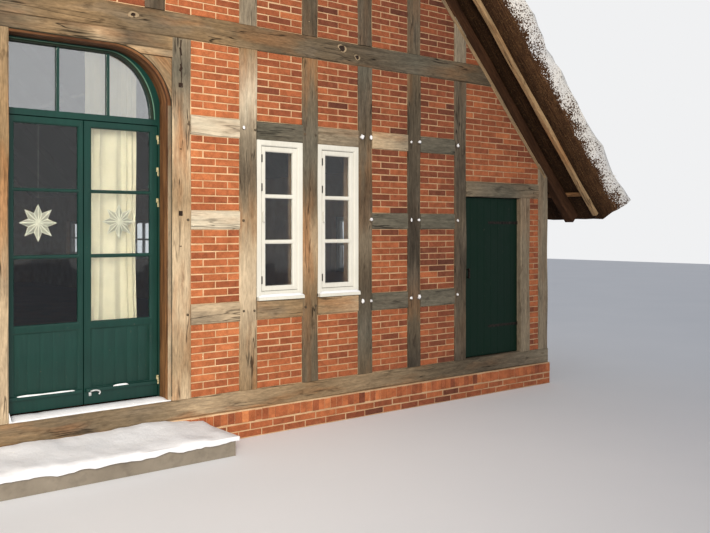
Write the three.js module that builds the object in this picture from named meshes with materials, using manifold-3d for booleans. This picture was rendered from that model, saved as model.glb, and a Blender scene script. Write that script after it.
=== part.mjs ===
import * as THREE from "three";
import { mergeVertices } from "three/addons/utils/BufferGeometryUtils.js";
import Module from "manifold-3d";

// A half-timbered farmhouse with a thatched roof, in millimetres, +Z up.
// The front gable faces -Y with its gate on X = 0. The origin lies on the ground under the middle of the house.

const wasm = await Module();
wasm.setup();

// The whole house
const houseLength = 18000;
const gableHalfWidth = 6360;
const plinthHeight = 250;
const plinthProud = 15;
const floorTop = 100;
const gap = 0.3;
const arcSegments = 8;
const barrelSides = 8;

// The walls: heights are counted from the underside of the sole plate, which lies on the plinth
const wallThickness = 240;
const timberDepth = 140;
const infillSetback = 14;
const soleTop = 165;
const lowRail = [785, 955];
const middleRail = [1595, 1755];
const highRail = [2400, 2565];
const tieBeam = [3200, 3410];
const doorRail = [1955, 2120];
const gableRailHeight = 160;
const gableRailSpacing = 800;

// The posts of the right half of the gable, as centres on X
const postWidth = 178;
const framePosts = [2160, 2839, 3512, 4173, 4862];
const gablePosts = [610, 1265];
const rearPosts = [1503, 2839, 4173, 5300];
const gatePost = [1417, 1589];
const gateCenterPostHalf = 95;
const cornerPostWidth = 170;
const doorPost = [5871, 6028];

// The roof: the rafters' undersides meet the outer edge of the side walls at the eaves height
const roofPitch = THREE.MathUtils.degToRad(47);
const eavesHeight = 2203;
const eavesOverhang = 490;
const rafterDepth = 140;
const rafterWidth = 120;
const rafterBays = 10;
const battenWidth = 60;
const battenThickness = 30;
const battenRows = 4;
const battenNotch = 5;
const battenEndSetback = 12;
const firstBatten = 350;
const vergeBattenWidth = 65;
const vergeBattenThickness = 50;
const thatchThickness = 400;
const thatchPastRafters = 100;
const vergeFoot = 285;
const vergeTop = 500;
const vergeRounding = 110;
const ridgeCapReach = 480;
const ridgeCapThickness = 90;
const ridgeCapRounding = 130;

// The gate under its basket arch
const lintelBottom = 3086;
const archStart = 900;
const archRadius = 520;
const braceFoot = 2680;
const liningThickness = 38;
const liningHead = 24;
const liningRadius = 488;
const liningFront = 12;
const liningBack = 232;
const gateFace = 160;
const gateFrameBack = 232;
const centerJamb = 18;
const centerJambAbove = 42;
const transom = [2470, 2520];
const lightsRight = 1298;
const lightsTop = 3026;
const lightsStart = 915;
const mullions = [516, 926];
const mullionWidth = 20;
const stopReach = 14;

// The leaves of the gate
const leafThickness = 45;
const leafClearance = 6;
const leafBottom = 198;
const leafTop = 2463;
const leafMeeting = 720;
const leafMeetingGap = 8;
const leafStile = 64;
const meetingStile = 40;
const leafPanes = [[860, 1367], [1397, 1887], [1914, 2409]];
const leafPanel = [330, 793];
const panelSinking = 14;
const glassThickness = 4;
const glassLap = 8;
const dripLedge = { bottom: 296, top: 314, proud: 20, endsShort: 12 };
const hingeRadius = 6;
const hingeLength = 36;
const hingeProud = 8;
const gateHinges = [330, 1820, 2080, 2350];
const doorHinges = [480, 1650];

// The side door
const doorOpening = [4951, 5871];
const doorFace = 62;
const doorRebate = 20;
const doorAxis = doorOpening[1] - 11;

// The white windows, one in each of two bays
const windowBays = [[2249, 2750], [2928, 3423]];
const windowBottom = 955;
const windowTop = 2400;
const windowFrameWidth = 52;
const windowSashWidth = 48;
const windowSashSetback = 12;
const windowDepth = 75;
const windowPaneRows = [[1082, 1462], [1499, 1876], [1913, 2297]];
const windowSill = { top: 985, proud: 32 };

// The long side walls and their windows
const sideBays = 14;
const sidePostWidth = 170;
const sideLowRail = [785, 935];
const sidePlateHeight = 160;
const sideWindowBays = [2, 5, 8, 11];
const sideWindow = [935, 1780];
const sideHeadRail = [1780, 1900];
const sideGlassFace = 150;

// The step, and the curtain behind the right half of the gate
const step = { halfLength: 1745, depth: 450, top: -100 };
const curtain = { left: 800, right: 1290, bottom: 210, thickness: 70 };

const oak = { color: 0x8a765c, roughness: 0.9, metalness: 0 };
const brick = { color: 0xb4583a, roughness: 0.92, metalness: 0 };
const stone = { color: 0x9b948a, roughness: 0.9, metalness: 0 };
const liningBoard = { color: 0x80502e, roughness: 0.75, metalness: 0 };
const gateGreen = { color: 0x1f5a46, roughness: 0.5, metalness: 0 };
const doorGreen = { color: 0x123a2c, roughness: 0.6, metalness: 0 };
const white = { color: 0xe9e8e2, roughness: 0.45, metalness: 0 };
const glass = { color: 0x2b3338, roughness: 0.05, metalness: 0 };
const thatch = { color: 0x6b563e, roughness: 1, metalness: 0 };
const cloth = { color: 0xe9e4cd, roughness: 0.95, metalness: 0 };

// A closed three.js geometry as a solid that can be joined and cut
function toSolid(geometry) {
  geometry.deleteAttribute("normal");
  geometry.deleteAttribute("uv");
  const merged = mergeVertices(geometry, 0.001);
  return new wasm.Manifold(new wasm.Mesh({
    numProp: 3,
    vertProperties: merged.attributes.position.array,
    triVerts: new Uint32Array(merged.index.array),
  }));
}

function toGeometry(solid) {
  const { vertProperties, triVerts } = solid.getMesh();
  const geometry = new THREE.BufferGeometry();
  geometry.setAttribute("position", new THREE.BufferAttribute(vertProperties, 3));
  geometry.setIndex(new THREE.BufferAttribute(triVerts, 1));
  geometry.computeVertexNormals();
  return geometry;
}

function box([x0, x1], [y0, y1], [z0, z1]) {
  const geometry = new THREE.BoxGeometry(x1 - x0, y1 - y0, z1 - z0);
  return toSolid(geometry.translate((x0 + x1) / 2, (y0 + y1) / 2, (z0 + z1) / 2));
}

// A Shape extruded along its own Z, with its X, Y and Z then turned to the given directions
function extruded(shape, depth, [xAxis, yAxis, zAxis], origin) {
  const geometry = new THREE.ExtrudeGeometry(shape, { depth, bevelEnabled: false, curveSegments: arcSegments });
  const turn = new THREE.Matrix4().makeBasis(xAxis, yAxis, zAxis).setPosition(origin);
  return toSolid(geometry.applyMatrix4(turn));
}

const alongX = new THREE.Vector3(1, 0, 0);
const alongY = new THREE.Vector3(0, 1, 0);
const upward = new THREE.Vector3(0, 0, 1);

// A Shape drawn in X and Z, running from y0 to y1
function prism(shape, [y0, y1]) {
  const axes = [alongX, upward, alongY.clone().negate()];
  return extruded(shape, y1 - y0, axes, new THREE.Vector3(0, y1, 0));
}

function outline(points) {
  return new THREE.Shape(points.map(([x, z]) => new THREE.Vector2(x, z)));
}

function joined(solids) {
  return solids.reduce((sum, solid) => sum.add(solid));
}

// The same solid on the other side of X = 0
function mirrored(solid) {
  const { vertProperties, triVerts } = solid.getMesh();
  return new wasm.Manifold(new wasm.Mesh({
    numProp: 3,
    vertProperties: vertProperties.map((value, i) => (i % 3 === 0 ? -value : value)),
    triVerts: triVerts.slice().reverse(),
  }));
}

function place(group, name, solid, finish) {
  const mesh = new THREE.Mesh(toGeometry(solid), new THREE.MeshStandardMaterial(finish));
  mesh.name = name;
  group.add(mesh);
}

function placePair(group, name, solid, finish) {
  place(group, `${name}_right`, solid, finish);
  place(group, `${name}_left`, mirrored(solid), finish);
}

const widened = ([low, high], by) => [low - by, high + by];
const postSpan = (center) => [center - postWidth / 2, center + postWidth / 2];
const bothSides = (centers) => [...centers.map((x) => -x), ...centers];

// Everything under the rafters, down from the line where their undersides lie
function underRafters(clearance) {
  const lowered = clearance / Math.cos(roofPitch);
  const edge = gableHalfWidth + 1;
  const edgeHeight = eavesHeight - Math.tan(roofPitch) - lowered;
  const apex = eavesHeight + gableHalfWidth * Math.tan(roofPitch) - lowered;
  const points = [[-edge, -1], [edge, -1], [edge, edgeHeight], [0, apex], [-edge, edgeHeight]];
  return prism(outline(points), [-wallThickness, 2 * wallThickness]);
}

// A timber let into the front of a wall, or the recess for it where it is widened
function timber(xSpan, zSpan, widening = 0) {
  return box(widened(xSpan, widening), [-widening, timberDepth + widening], widened(zSpan, widening));
}

const front = new THREE.Group();
front.position.set(0, -houseLength / 2, plinthHeight);

// The sole plate and the tie beam run the whole way across the gable
const aboveSole = soleTop + gap;
const belowTie = tieBeam[0] - gap;
const roofApex = eavesHeight + gableHalfWidth * Math.tan(roofPitch);
place(front, "front_sole", box([-gableHalfWidth, gableHalfWidth], [0, wallThickness], [gap, soleTop]), oak);

// The tie beam carries the two shortest posts of the gable
function shortPosts(widening = 0) {
  const last = framePosts.at(-1);
  return joined(bothSides([last]).map((x) => timber(postSpan(x), [tieBeam[1] - 1, roofApex], widening)));
}

const tieRun = box([-gableHalfWidth, gableHalfWidth], [0, wallThickness], tieBeam);
place(front, "front_tie_beam", tieRun.add(shortPosts()).intersect(underRafters(gap)), oak);

// The gate's posts and lintel
const gatePostRun = [aboveSole, belowTie];
placePair(front, "gate_post", timber(gatePost, gatePostRun), oak);
const centerPostSpan = [-gateCenterPostHalf, gateCenterPostHalf];
const centerPostRun = [aboveSole, lintelBottom - gap];
place(front, "gate_center_post", box(centerPostSpan, [0, wallThickness], centerPostRun), oak);
const lintelSpan = [-gatePost[0] + gap, gatePost[0] - gap];
place(front, "gate_lintel", box(lintelSpan, [0, wallThickness], [lintelBottom, belowTie]), oak);

// Three outlines of the gate's right half: each has a level head, an arc and a straight side
const archLevel = lintelBottom - archRadius;
const timberArch = {
  right: gatePost[0], top: lintelBottom, start: archStart, reach: archRadius, rise: archRadius,
};
const liningHeadLevel = lintelBottom - liningHead;
const liningArch = {
  right: gatePost[0] - liningThickness, top: liningHeadLevel, start: archStart, reach: liningRadius,
  rise: liningHeadLevel - archLevel,
};
const lightsArch = {
  right: lightsRight, top: lightsTop, start: lightsStart, reach: lightsRight - lightsStart,
  rise: lightsTop - transom[1],
};

function gateRegion(arch, { left, bottom, inset = 0 }, ySpan) {
  const right = arch.right - inset;
  const top = arch.top - inset;
  const reach = arch.reach - inset;
  const rise = arch.rise - inset;
  const spring = Math.acos(Math.min(1, (right - arch.start) / reach));
  const shape = new THREE.Shape();
  shape.moveTo(left, bottom);
  shape.lineTo(right, bottom);
  shape.absellipse(arch.start, top - rise, reach, rise, spring, Math.PI / 2);
  shape.lineTo(left, top);
  return prism(shape, ySpan);
}

function gateBrace() {
  const corner = box([archStart, gatePost[0] - gap], [0, timberDepth], [braceFoot, lintelBottom - gap]);
  return corner.subtract(gateRegion(timberArch, { left: 0, bottom: 0 }, [-1, timberDepth + 1]));
}

function gateLining() {
  const besidePost = gateCenterPostHalf + gap;
  const ySpan = [liningFront, liningBack];
  const outer = gateRegion(timberArch, { left: besidePost, bottom: aboveSole, inset: gap }, ySpan);
  return outer.subtract(gateRegion(liningArch, { left: 0, bottom: 0 }, widened(ySpan, 1)));
}

placePair(front, "gate_brace", gateBrace(), oak);
placePair(front, "gate_lining", gateLining(), liningBoard);

// The leaves swing on barrels that stand in front of their outer edges
const jambRight = gatePost[0] - liningThickness - gap;
const jambLeft = gateCenterPostHalf + gap;
const openingRight = jambRight - stopReach - leafClearance / 2;
const openingLeft = jambLeft + centerJamb;
const leafSpans = [
  [openingLeft + leafClearance, leafMeeting - leafMeetingGap / 2],
  [leafMeeting + leafMeetingGap / 2, openingRight - leafClearance],
];
const hingeAxes = [openingLeft + leafClearance / 2, openingRight - leafClearance / 2];
const hingeAxisY = gateFace - hingeProud;

function barrel(x, y, zSpan) {
  const geometry = new THREE.CylinderGeometry(hingeRadius, hingeRadius, zSpan[1] - zSpan[0], barrelSides);
  return toSolid(geometry.rotateX(Math.PI / 2).translate(x, y, (zSpan[0] + zSpan[1]) / 2));
}

// Half of a hinge: its barrel and the plate that fixes it, reaching from the axis toward one side
function hingeHalf(x, y, zSpan, reach, plateDepth) {
  const xSpan = [Math.min(x, x + reach), Math.max(x, x + reach)];
  return barrel(x, y, zSpan).add(box(xSpan, [y, y + plateDepth], zSpan));
}

// The leaf's halves are let into its face and stand on the halves fixed to the frame
const plateIntoFace = hingeProud + 1;

function upperHalves(x, y, heights, reach) {
  return heights.map((z) => hingeHalf(x, y, [z + gap / 2, z + hingeLength], reach, plateIntoFace));
}

function lowerHalves(x, y, heights, reach, plateDepth = plateIntoFace) {
  return heights.map((z) => hingeHalf(x, y, [z - hingeLength, z - gap / 2], reach, plateDepth));
}

const glassMiddle = gateFace + leafThickness / 2;
const glassSpan = [glassMiddle - glassThickness / 2, glassMiddle + glassThickness / 2];
const lightsLeft = jambLeft + centerJambAbove;

function lightsWidened(reach, ySpan) {
  const edges = { left: lightsLeft - reach, bottom: transom[1] - reach, inset: -reach };
  return gateRegion(lightsArch, edges, ySpan);
}

function gateFrame() {
  const through = [gateFace - 1, gateFrameBack + 1];
  const whole = gateRegion(
    liningArch,
    { left: jambLeft, bottom: aboveSole, inset: gap },
    [gateFace, gateFrameBack],
  );
  const doorway = box([openingLeft, openingRight], through, [0, transom[0]]);
  const stopDepth = [gateFace + leafThickness + leafClearance, gateFrameBack];
  const stops = [
    box([openingLeft - 1, openingLeft + stopReach], stopDepth, [aboveSole, transom[0]]),
    box([openingRight - stopReach, openingRight + 1], stopDepth, [aboveSole, transom[0]]),
    box([openingLeft, openingRight], stopDepth, [transom[0] - stopReach, transom[0] + 1]),
  ];
  const lights = gateRegion(lightsArch, { left: lightsLeft, bottom: transom[1] }, through);
  const bars = mullions.map((x) =>
    box(widened([x, x], mullionWidth / 2), [gateFace, gateFace + leafThickness], [transom[1] - 1, lintelBottom]));
  const slot = lightsWidened(glassLap + gap, widened(glassSpan, gap));
  const kept = bars.map((bar) => bar.intersect(lights));
  const hinges = [
    ...lowerHalves(hingeAxes[0], hingeAxisY, gateHinges, -10),
    ...lowerHalves(hingeAxes[1], hingeAxisY, gateHinges, 10),
  ];
  return joined([whole.subtract(doorway), ...stops]).subtract(lights).add(joined(kept)).subtract(slot)
    .add(joined(hinges));
}

placePair(front, "gate_frame", gateFrame(), gateGreen);
placePair(front, "transom_glass", lightsWidened(glassLap, glassSpan), glass);

// The panes of a leaf lie between its stiles; the inner leaf's stile is slimmer where the leaves meet
function betweenStiles([x0, x1]) {
  const slim = x1 < leafMeeting ? meetingStile : leafStile;
  return [x0 + leafStile, x1 - slim];
}

function gateLeaf([x0, x1], axis) {
  const back = gateFace + leafThickness;
  const inner = betweenStiles([x0, x1]);
  const through = [gateFace - 1, back + 1];
  const whole = box([x0, x1], [gateFace, back], [leafBottom, leafTop]);
  const glassRun = [leafPanes[0][0] - glassLap, leafPanes.at(-1)[1] + glassLap];
  const cuts = [
    ...leafPanes.map((row) => box(inner, through, row)),
    box(inner, [gateFace - 1, gateFace + panelSinking], leafPanel),
    box(inner, [back - panelSinking, back + 1], leafPanel),
    box(widened(inner, glassLap + gap), widened(glassSpan, gap), widened(glassRun, gap)),
  ];
  const ledge = box(
    widened([x0, x1], -dripLedge.endsShort),
    [gateFace - dripLedge.proud, gateFace + 1],
    [dripLedge.bottom, dripLedge.top],
  );
  const towardLeaf = axis < (x0 + x1) / 2 ? 22 : -22;
  const hinges = upperHalves(axis, hingeAxisY, gateHinges, towardLeaf);
  return joined([whole.subtract(joined(cuts)), ledge, ...hinges]);
}

function leafGlass(span) {
  const run = [leafPanes[0][0] - glassLap, leafPanes.at(-1)[1] + glassLap];
  return box(widened(betweenStiles(span), glassLap), glassSpan, run);
}

// In each half of the gate, leaf 1 hangs on the centre post's side and leaf 2 on the outer side
leafSpans.forEach((span, i) => {
  placePair(front, `gate_leaf_${i + 1}`, gateLeaf(span, hingeAxes[i]), gateGreen);
  placePair(front, `leaf_glass_${i + 1}`, leafGlass(span), glass);
});

// The frame beside the gate: five posts, two rails the whole way and a middle rail beside the windows
function frontTimbers(widening = 0) {
  const start = gatePost[1] + gap;
  const posts = framePosts.map((x) => timber(postSpan(x), [aboveSole, belowTie], widening));
  const lastPost = framePosts.at(-1);
  const rails = [
    timber([start, lastPost], lowRail, widening),
    timber([start, lastPost], highRail, widening),
    timber([start, framePosts[0]], middleRail, widening),
    timber([framePosts[2], lastPost], middleRail, widening),
  ];
  return joined([...posts, ...rails]);
}

function frontWall() {
  const span = [gatePost[0], doorOpening[0] + doorRebate];
  const whole = box(span, [infillSetback, wallThickness], [aboveSole, belowTie]);
  const besideDoor = box([doorOpening[0], span[1] + 1], [0, timberDepth], [0, belowTie]);
  const holes = windowBays.map((bay) => box(bay, [0, wallThickness + 1], [windowBottom, windowTop]));
  return whole.subtract(joined([
    timber(gatePost, gatePostRun, gap),
    frontTimbers(gap),
    besideDoor,
    ...holes,
  ]));
}

placePair(front, "front_frame", frontTimbers(), oak);
placePair(front, "front_wall", frontWall(), brick);

// The side door's frame: its outer post, the rail over it and the house's corner post
const lastPostRight = postSpan(framePosts.at(-1))[1];
const cornerPostSpan = [gableHalfWidth - cornerPostWidth, gableHalfWidth];

function doorTimbers(widening = 0) {
  return joined([
    timber(doorPost, [aboveSole, doorRail[0] + 1], widening),
    timber([lastPostRight + gap, cornerPostSpan[0] + 1], doorRail, widening),
  ]);
}

function doorFrame() {
  const corner = box(cornerPostSpan, [0, wallThickness], [aboveSole, eavesHeight + wallThickness]);
  const toPost = doorOpening[1] - doorAxis + 1;
  const hinges = lowerHalves(doorAxis, doorFace - hingeProud, doorHinges, toPost, hingeRadius);
  return joined([doorTimbers(), corner.intersect(underRafters(gap)), ...hinges]);
}

function cornerWall() {
  const right = cornerPostSpan[0] - gap;
  const left = lastPostRight + gap;
  const ySpan = [infillSetback, wallThickness];
  const over = box([doorOpening[0] + doorRebate + gap, right], ySpan, [doorRail[0], belowTie]);
  const overFront = box([left, right], [infillSetback, timberDepth], [doorRail[0], belowTie]);
  const beside = box([doorOpening[1] - doorRebate, right], ySpan, [aboveSole, doorRail[0] + 1]);
  const doorSpace = box([0, doorOpening[1]], [0, timberDepth], [0, doorRail[0]]);
  const all = joined([over, overFront, beside]).subtract(doorSpace).subtract(doorTimbers(gap));
  return all.intersect(underRafters(gap));
}

function sideDoor() {
  const span = [doorOpening[0] + leafClearance, doorOpening[1] - leafClearance];
  const zSpan = [soleTop + leafClearance + 4, doorRail[0] - leafClearance];
  const leaf = box(span, [doorFace, doorFace + leafThickness], zSpan);
  return joined([leaf, ...upperHalves(doorAxis, doorFace - hingeProud, doorHinges, -22)]);
}

placePair(front, "side_door_frame", doorFrame(), oak);
placePair(front, "corner_wall", cornerWall(), brick);
placePair(front, "side_door", sideDoor(), doorGreen);

// A window: the frame, the sash set back in it, two bars and the sill, in one piece
function windowFrame(bay) {
  const [x0, x1] = widened(bay, -gap);
  const [z0, z1] = [windowBottom + gap, windowTop - gap];
  const back = windowDepth;
  const sash = windowFrameWidth + windowSashWidth;
  const frame = box([x0, x1], [0, back], [z0, z1]);
  const setback = box(widened([x0, x1], -windowFrameWidth), [-1, windowSashSetback],
    [windowPaneRows[0][0] - windowSashWidth, z1 - windowFrameWidth]);
  const panes = windowPaneRows.map((row) => box(widened([x0, x1], -sash), [-1, back + 1], row));
  const sill = box([x0, x1], [-windowSill.proud, 1], [z0, windowSill.top]);
  const slot = windowGlass(bay, gap);
  return frame.subtract(joined([setback, ...panes, slot])).add(sill);
}

function windowGlass(bay, widening = 0) {
  const inner = widened(bay, -windowFrameWidth - windowSashWidth + glassLap + widening);
  const middle = (windowSashSetback + windowDepth) / 2;
  const run = [windowPaneRows[0][0], windowPaneRows.at(-1)[1]];
  return box(inner, widened([middle, middle], glassThickness / 2 + widening), widened(run, glassLap + widening));
}

windowBays.forEach((bay, i) => {
  placePair(front, `window_${i + 1}`, windowFrame(bay), white);
  placePair(front, `window_glass_${i + 1}`, windowGlass(bay), glass);
});

// The gable over the tie beam, whose posts stand over those below
const aboveTie = tieBeam[1] + gap;

function gableRails(fromHeight, spacing, widening) {
  const rails = [];
  const highest = roofApex - spacing;
  for (let z = fromHeight + spacing; z < highest; z += spacing) {
    rails.push(timber([-gableHalfWidth, gableHalfWidth], [z, z + gableRailHeight], widening));
  }
  return rails;
}

function gableTimbers(widening = 0) {
  const centers = [0, ...bothSides([...gablePosts, ...framePosts.slice(0, -1)])];
  const posts = centers.map((x) => timber(postSpan(x), [aboveTie, roofApex], widening));
  return joined([...posts, ...gableRails(tieBeam[1], gableRailSpacing, widening)]);
}

function gableWall() {
  const ySpan = [infillSetback, wallThickness];
  const whole = box([-gableHalfWidth, gableHalfWidth], ySpan, [aboveTie, roofApex]);
  return whole.subtract(gableTimbers(gap)).subtract(shortPosts(gap));
}

place(front, "gable_frame", gableTimbers().intersect(underRafters(gap)), oak);
place(front, "gable_wall", gableWall().intersect(underRafters(gap)), brick);

// The rear gable is closed, with every second post and rail
const rear = new THREE.Group();
rear.position.set(0, houseLength / 2, plinthHeight);
rear.rotation.z = Math.PI;

function rearTimbers(widening = 0) {
  const centers = [0, ...bothSides(rearPosts)];
  const across = [-gableHalfWidth, gableHalfWidth];
  const posts = centers.map((x) => timber(postSpan(x), [gap, roofApex], widening));
  const rails = [[gap, soleTop], lowRail, middleRail, highRail, tieBeam].map((zSpan) =>
    timber(across, zSpan, widening));
  const corners = [cornerPostSpan, cornerPostSpan.map((x) => -x).reverse()].map((span) =>
    box(widened(span, widening), [-widening, wallThickness + widening], [gap, roofApex]));
  const upperRails = gableRails(tieBeam[1], 2 * gableRailSpacing, widening);
  return joined([...posts, ...rails, ...corners, ...upperRails]);
}

function rearWall() {
  const across = [-cornerPostSpan[0] + gap, cornerPostSpan[0] - gap];
  const whole = box(across, [infillSetback, wallThickness], [gap, roofApex]);
  return whole.subtract(rearTimbers(gap)).intersect(underRafters(gap));
}

place(rear, "rear_frame", rearTimbers().intersect(underRafters(gap)), oak);
place(rear, "rear_wall", rearWall(), brick);

// A long side wall, drawn along X with its outside toward -Y
const sideHalf = houseLength / 2 - wallThickness - gap;
const sideBayLength = (2 * sideHalf - sidePostWidth) / sideBays;

function bayStart(bay) {
  return -sideHalf + sidePostWidth + bay * sideBayLength;
}

function bayOpening(bay) {
  return [bayStart(bay), bayStart(bay) + sideBayLength - sidePostWidth];
}

// The part of a side wall that lies under the slope of the rafters
function underEaves() {
  const lowered = gap / Math.cos(roofPitch);
  const inside = 2 * wallThickness;
  const atInside = eavesHeight + inside * Math.tan(roofPitch) - lowered;
  const atOutside = eavesHeight - Math.tan(roofPitch) - lowered;
  const slope = outline([[-1, -1], [inside, -1], [inside, atInside], [-1, atOutside]]);
  const origin = new THREE.Vector3(-sideHalf - 1, 0, 0);
  return extruded(slope, 2 * sideHalf + 2, [alongY, upward, alongX], origin);
}

function sideTimbers(widening = 0) {
  const top = eavesHeight + wallThickness;
  const posts = [];
  for (let bay = 0; bay <= sideBays; bay += 1) {
    const end = bayStart(bay);
    posts.push(timber([end - sidePostWidth, end], [gap, top], widening));
  }
  const along = [-sideHalf, sideHalf];
  const rails = [[gap, soleTop], sideLowRail, [eavesHeight - sidePlateHeight, top]].map((zSpan) =>
    timber(along, zSpan, widening));
  const heads = sideWindowBays.map((bay) => timber(widened(bayOpening(bay), 1), sideHeadRail, widening));
  return joined([...posts, ...rails, ...heads]);
}

function sideHoles(ySpan) {
  return joined(sideWindowBays.map((bay) => box(bayOpening(bay), ySpan, sideWindow)));
}

// One sheet of glass, let into the wall behind the timbers, closes all the windows of a side
function sideGlass(widening = 0) {
  const ends = [bayOpening(sideWindowBays[0])[0], bayOpening(sideWindowBays.at(-1))[1]];
  const ySpan = widened([sideGlassFace, sideGlassFace + glassThickness], widening);
  return box(widened(ends, glassLap + widening), ySpan, widened(sideWindow, glassLap + widening));
}

function sideWall() {
  const whole = box([-sideHalf, sideHalf], [infillSetback, wallThickness], [gap, eavesHeight + wallThickness]);
  const cuts = [sideTimbers(gap), sideHoles([0, wallThickness + 1]), sideGlass(gap)];
  return whole.subtract(joined(cuts)).intersect(underEaves());
}

const house = new THREE.Group();
house.add(front, rear);
const sideSolids = { side_frame: sideTimbers().intersect(underEaves()), side_wall: sideWall() };
for (const [side, sign] of [["right", 1], ["left", -1]]) {
  const group = new THREE.Group();
  group.position.set(sign * gableHalfWidth, 0, plinthHeight);
  group.rotation.z = sign * Math.PI / 2;
  place(group, `side_frame_${side}`, sideSolids.side_frame, oak);
  place(group, `side_wall_${side}`, sideSolids.side_wall, brick);
  place(group, `side_glass_${side}`, sideGlass(), glass);
  house.add(group);
}

// The plinth, the floor inside it and the step before the gate stand on the ground
const plinthHalf = [gableHalfWidth + plinthProud, houseLength / 2 + plinthProud];
const floorHalf = [gableHalfWidth - wallThickness, houseLength / 2 - wallThickness];

function slab([halfX, halfY], zSpan) {
  return box([-halfX, halfX], [-halfY, halfY], zSpan);
}

function gateStep() {
  const back = -plinthHalf[1] - gap;
  return box([-step.halfLength, step.halfLength], [back - step.depth, back], [0, plinthHeight + step.top]);
}

const floorRecess = floorHalf.map((half) => half + gap);
const plinthInside = slab(floorRecess, [-1, plinthHeight + 1]);
place(house, "brick_plinth", slab(plinthHalf, [0, plinthHeight]).subtract(plinthInside), brick);
place(house, "ground_floor", slab(floorHalf, [0, plinthHeight + floorTop]), stone);
place(house, "gate_step", gateStep(), stone);

// The curtain hangs from the back of the lintel behind the right leaves
function curtainSolid() {
  const head = [plinthHeight + curtain.bottom, plinthHeight + lintelBottom + 60];
  const face = -houseLength / 2 + wallThickness + gap;
  return box([curtain.left, curtain.right], [face, face + curtain.thickness], head);
}

place(house, "curtain", curtainSolid(), cloth);

// Roof pieces are drawn along the ridge, out of the slope and down the slope from the rafters' apex
const outOfSlope = new THREE.Vector3(Math.sin(roofPitch), 0, Math.cos(roofPitch));
const downSlope = new THREE.Vector3(Math.cos(roofPitch), 0, -Math.sin(roofPitch));
const slopeAxes = [alongY, outOfSlope, downSlope];
const apexHeight = plinthHeight + roofApex;
const rafterFoot = (gableHalfWidth + eavesOverhang) / Math.cos(roofPitch);
const pastRidge = -(rafterDepth + battenThickness + thatchThickness) * Math.tan(roofPitch) - 1;

function onSlope(shape, from, to) {
  const origin = downSlope.clone().multiplyScalar(from);
  origin.z += apexHeight;
  return extruded(shape, to - from, slopeAxes, origin);
}

function slopeBox(ySpan, outSpan, downSpan) {
  const corners = [[ySpan[0], outSpan[0]], [ySpan[1], outSpan[0]], [ySpan[1], outSpan[1]], [ySpan[0], outSpan[1]]];
  return onSlope(outline(corners), ...downSpan);
}

// Keeps what lies on the right of the ridge
function rightOfRidge(solid) {
  const reach = 2 * gableHalfWidth;
  return solid.intersect(box([gap / 2, reach], [-houseLength, houseLength], [0, 2 * apexHeight]));
}

function roofFrame() {
  const half = (houseLength - rafterWidth) / 2;
  const rafters = [];
  for (let bay = 0; bay <= rafterBays; bay += 1) {
    const y = -half + (2 * half * bay) / rafterBays;
    rafters.push(slopeBox(widened([y, y], rafterWidth / 2), [0, rafterDepth], [pastRidge, rafterFoot]));
  }
  const verge = houseLength / 2 + vergeFoot;
  const top = rafterDepth + battenThickness;
  const battens = [];
  for (let row = 0; row < battenRows; row += 1) {
    const down = firstBatten + ((rafterFoot - 2 * firstBatten) * row) / (battenRows - 1);
    const ySpan = [-verge + battenEndSetback, verge - battenEndSetback];
    battens.push(slopeBox(ySpan, [rafterDepth - battenNotch, top], [down, down + battenWidth]));
  }
  const vergeOut = [top - battenNotch - vergeBattenThickness, top - battenNotch];
  const verges = [[-verge, -verge + vergeBattenWidth], [verge - vergeBattenWidth, verge]].map((ySpan) =>
    slopeBox(ySpan, vergeOut, [pastRidge, rafterFoot]));
  return rightOfRidge(joined([...rafters, ...battens, ...verges]));
}

// The thatch's verges lean outward, and their upper edges are rounded
function thatchSlope() {
  const under = rafterDepth + battenThickness + gap;
  const over = under + thatchThickness;
  const foot = houseLength / 2 + vergeFoot;
  const head = houseLength / 2 + vergeTop;
  const shape = new THREE.Shape();
  shape.moveTo(-foot, under);
  shape.lineTo(foot, under);
  shape.lineTo(head, over - vergeRounding);
  shape.quadraticCurveTo(head, over, head - vergeRounding, over);
  shape.lineTo(vergeRounding - head, over);
  shape.quadraticCurveTo(-head, over, -head, over - vergeRounding);
  return rightOfRidge(onSlope(shape, pastRidge, rafterFoot + thatchPastRafters));
}

// Two slopes of even thickness with a rounded back
function ridgeCap() {
  const rise = (rafterDepth + battenThickness + thatchThickness + 2 * gap) / Math.cos(roofPitch);
  const top = apexHeight + rise;
  const drop = ridgeCapReach * Math.tan(roofPitch);
  const [outX, outZ] = [ridgeCapThickness * Math.sin(roofPitch), ridgeCapThickness * Math.cos(roofPitch)];
  const back = top + ridgeCapThickness / Math.cos(roofPitch);
  const shoulder = back - ridgeCapRounding * Math.tan(roofPitch);
  const shape = outline([[-ridgeCapReach, top - drop], [0, top], [ridgeCapReach, top - drop]]);
  shape.lineTo(ridgeCapReach + outX, top - drop + outZ);
  shape.lineTo(ridgeCapRounding, shoulder);
  shape.quadraticCurveTo(0, back, -ridgeCapRounding, shoulder);
  shape.lineTo(-ridgeCapReach - outX, top - drop + outZ);
  const end = houseLength / 2 + vergeTop - vergeRounding;
  return prism(shape, [-end, end]);
}

const roofSolids = { roof_frame: [roofFrame(), oak], thatch: [thatchSlope(), thatch] };
for (const [side, turn] of [["right", 0], ["left", Math.PI]]) {
  const slope = new THREE.Group();
  slope.rotation.z = turn;
  for (const [name, [solid, finish]] of Object.entries(roofSolids)) {
    place(slope, `${name}_${side}`, solid, finish);
  }
  house.add(slope);
}
place(house, "ridge_cap", ridgeCap(), thatch);

export default house;
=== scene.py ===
import math

import bmesh
import bpy
import numpy as np
from mathutils import Matrix, Vector
from mathutils.noise import fractal


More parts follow.
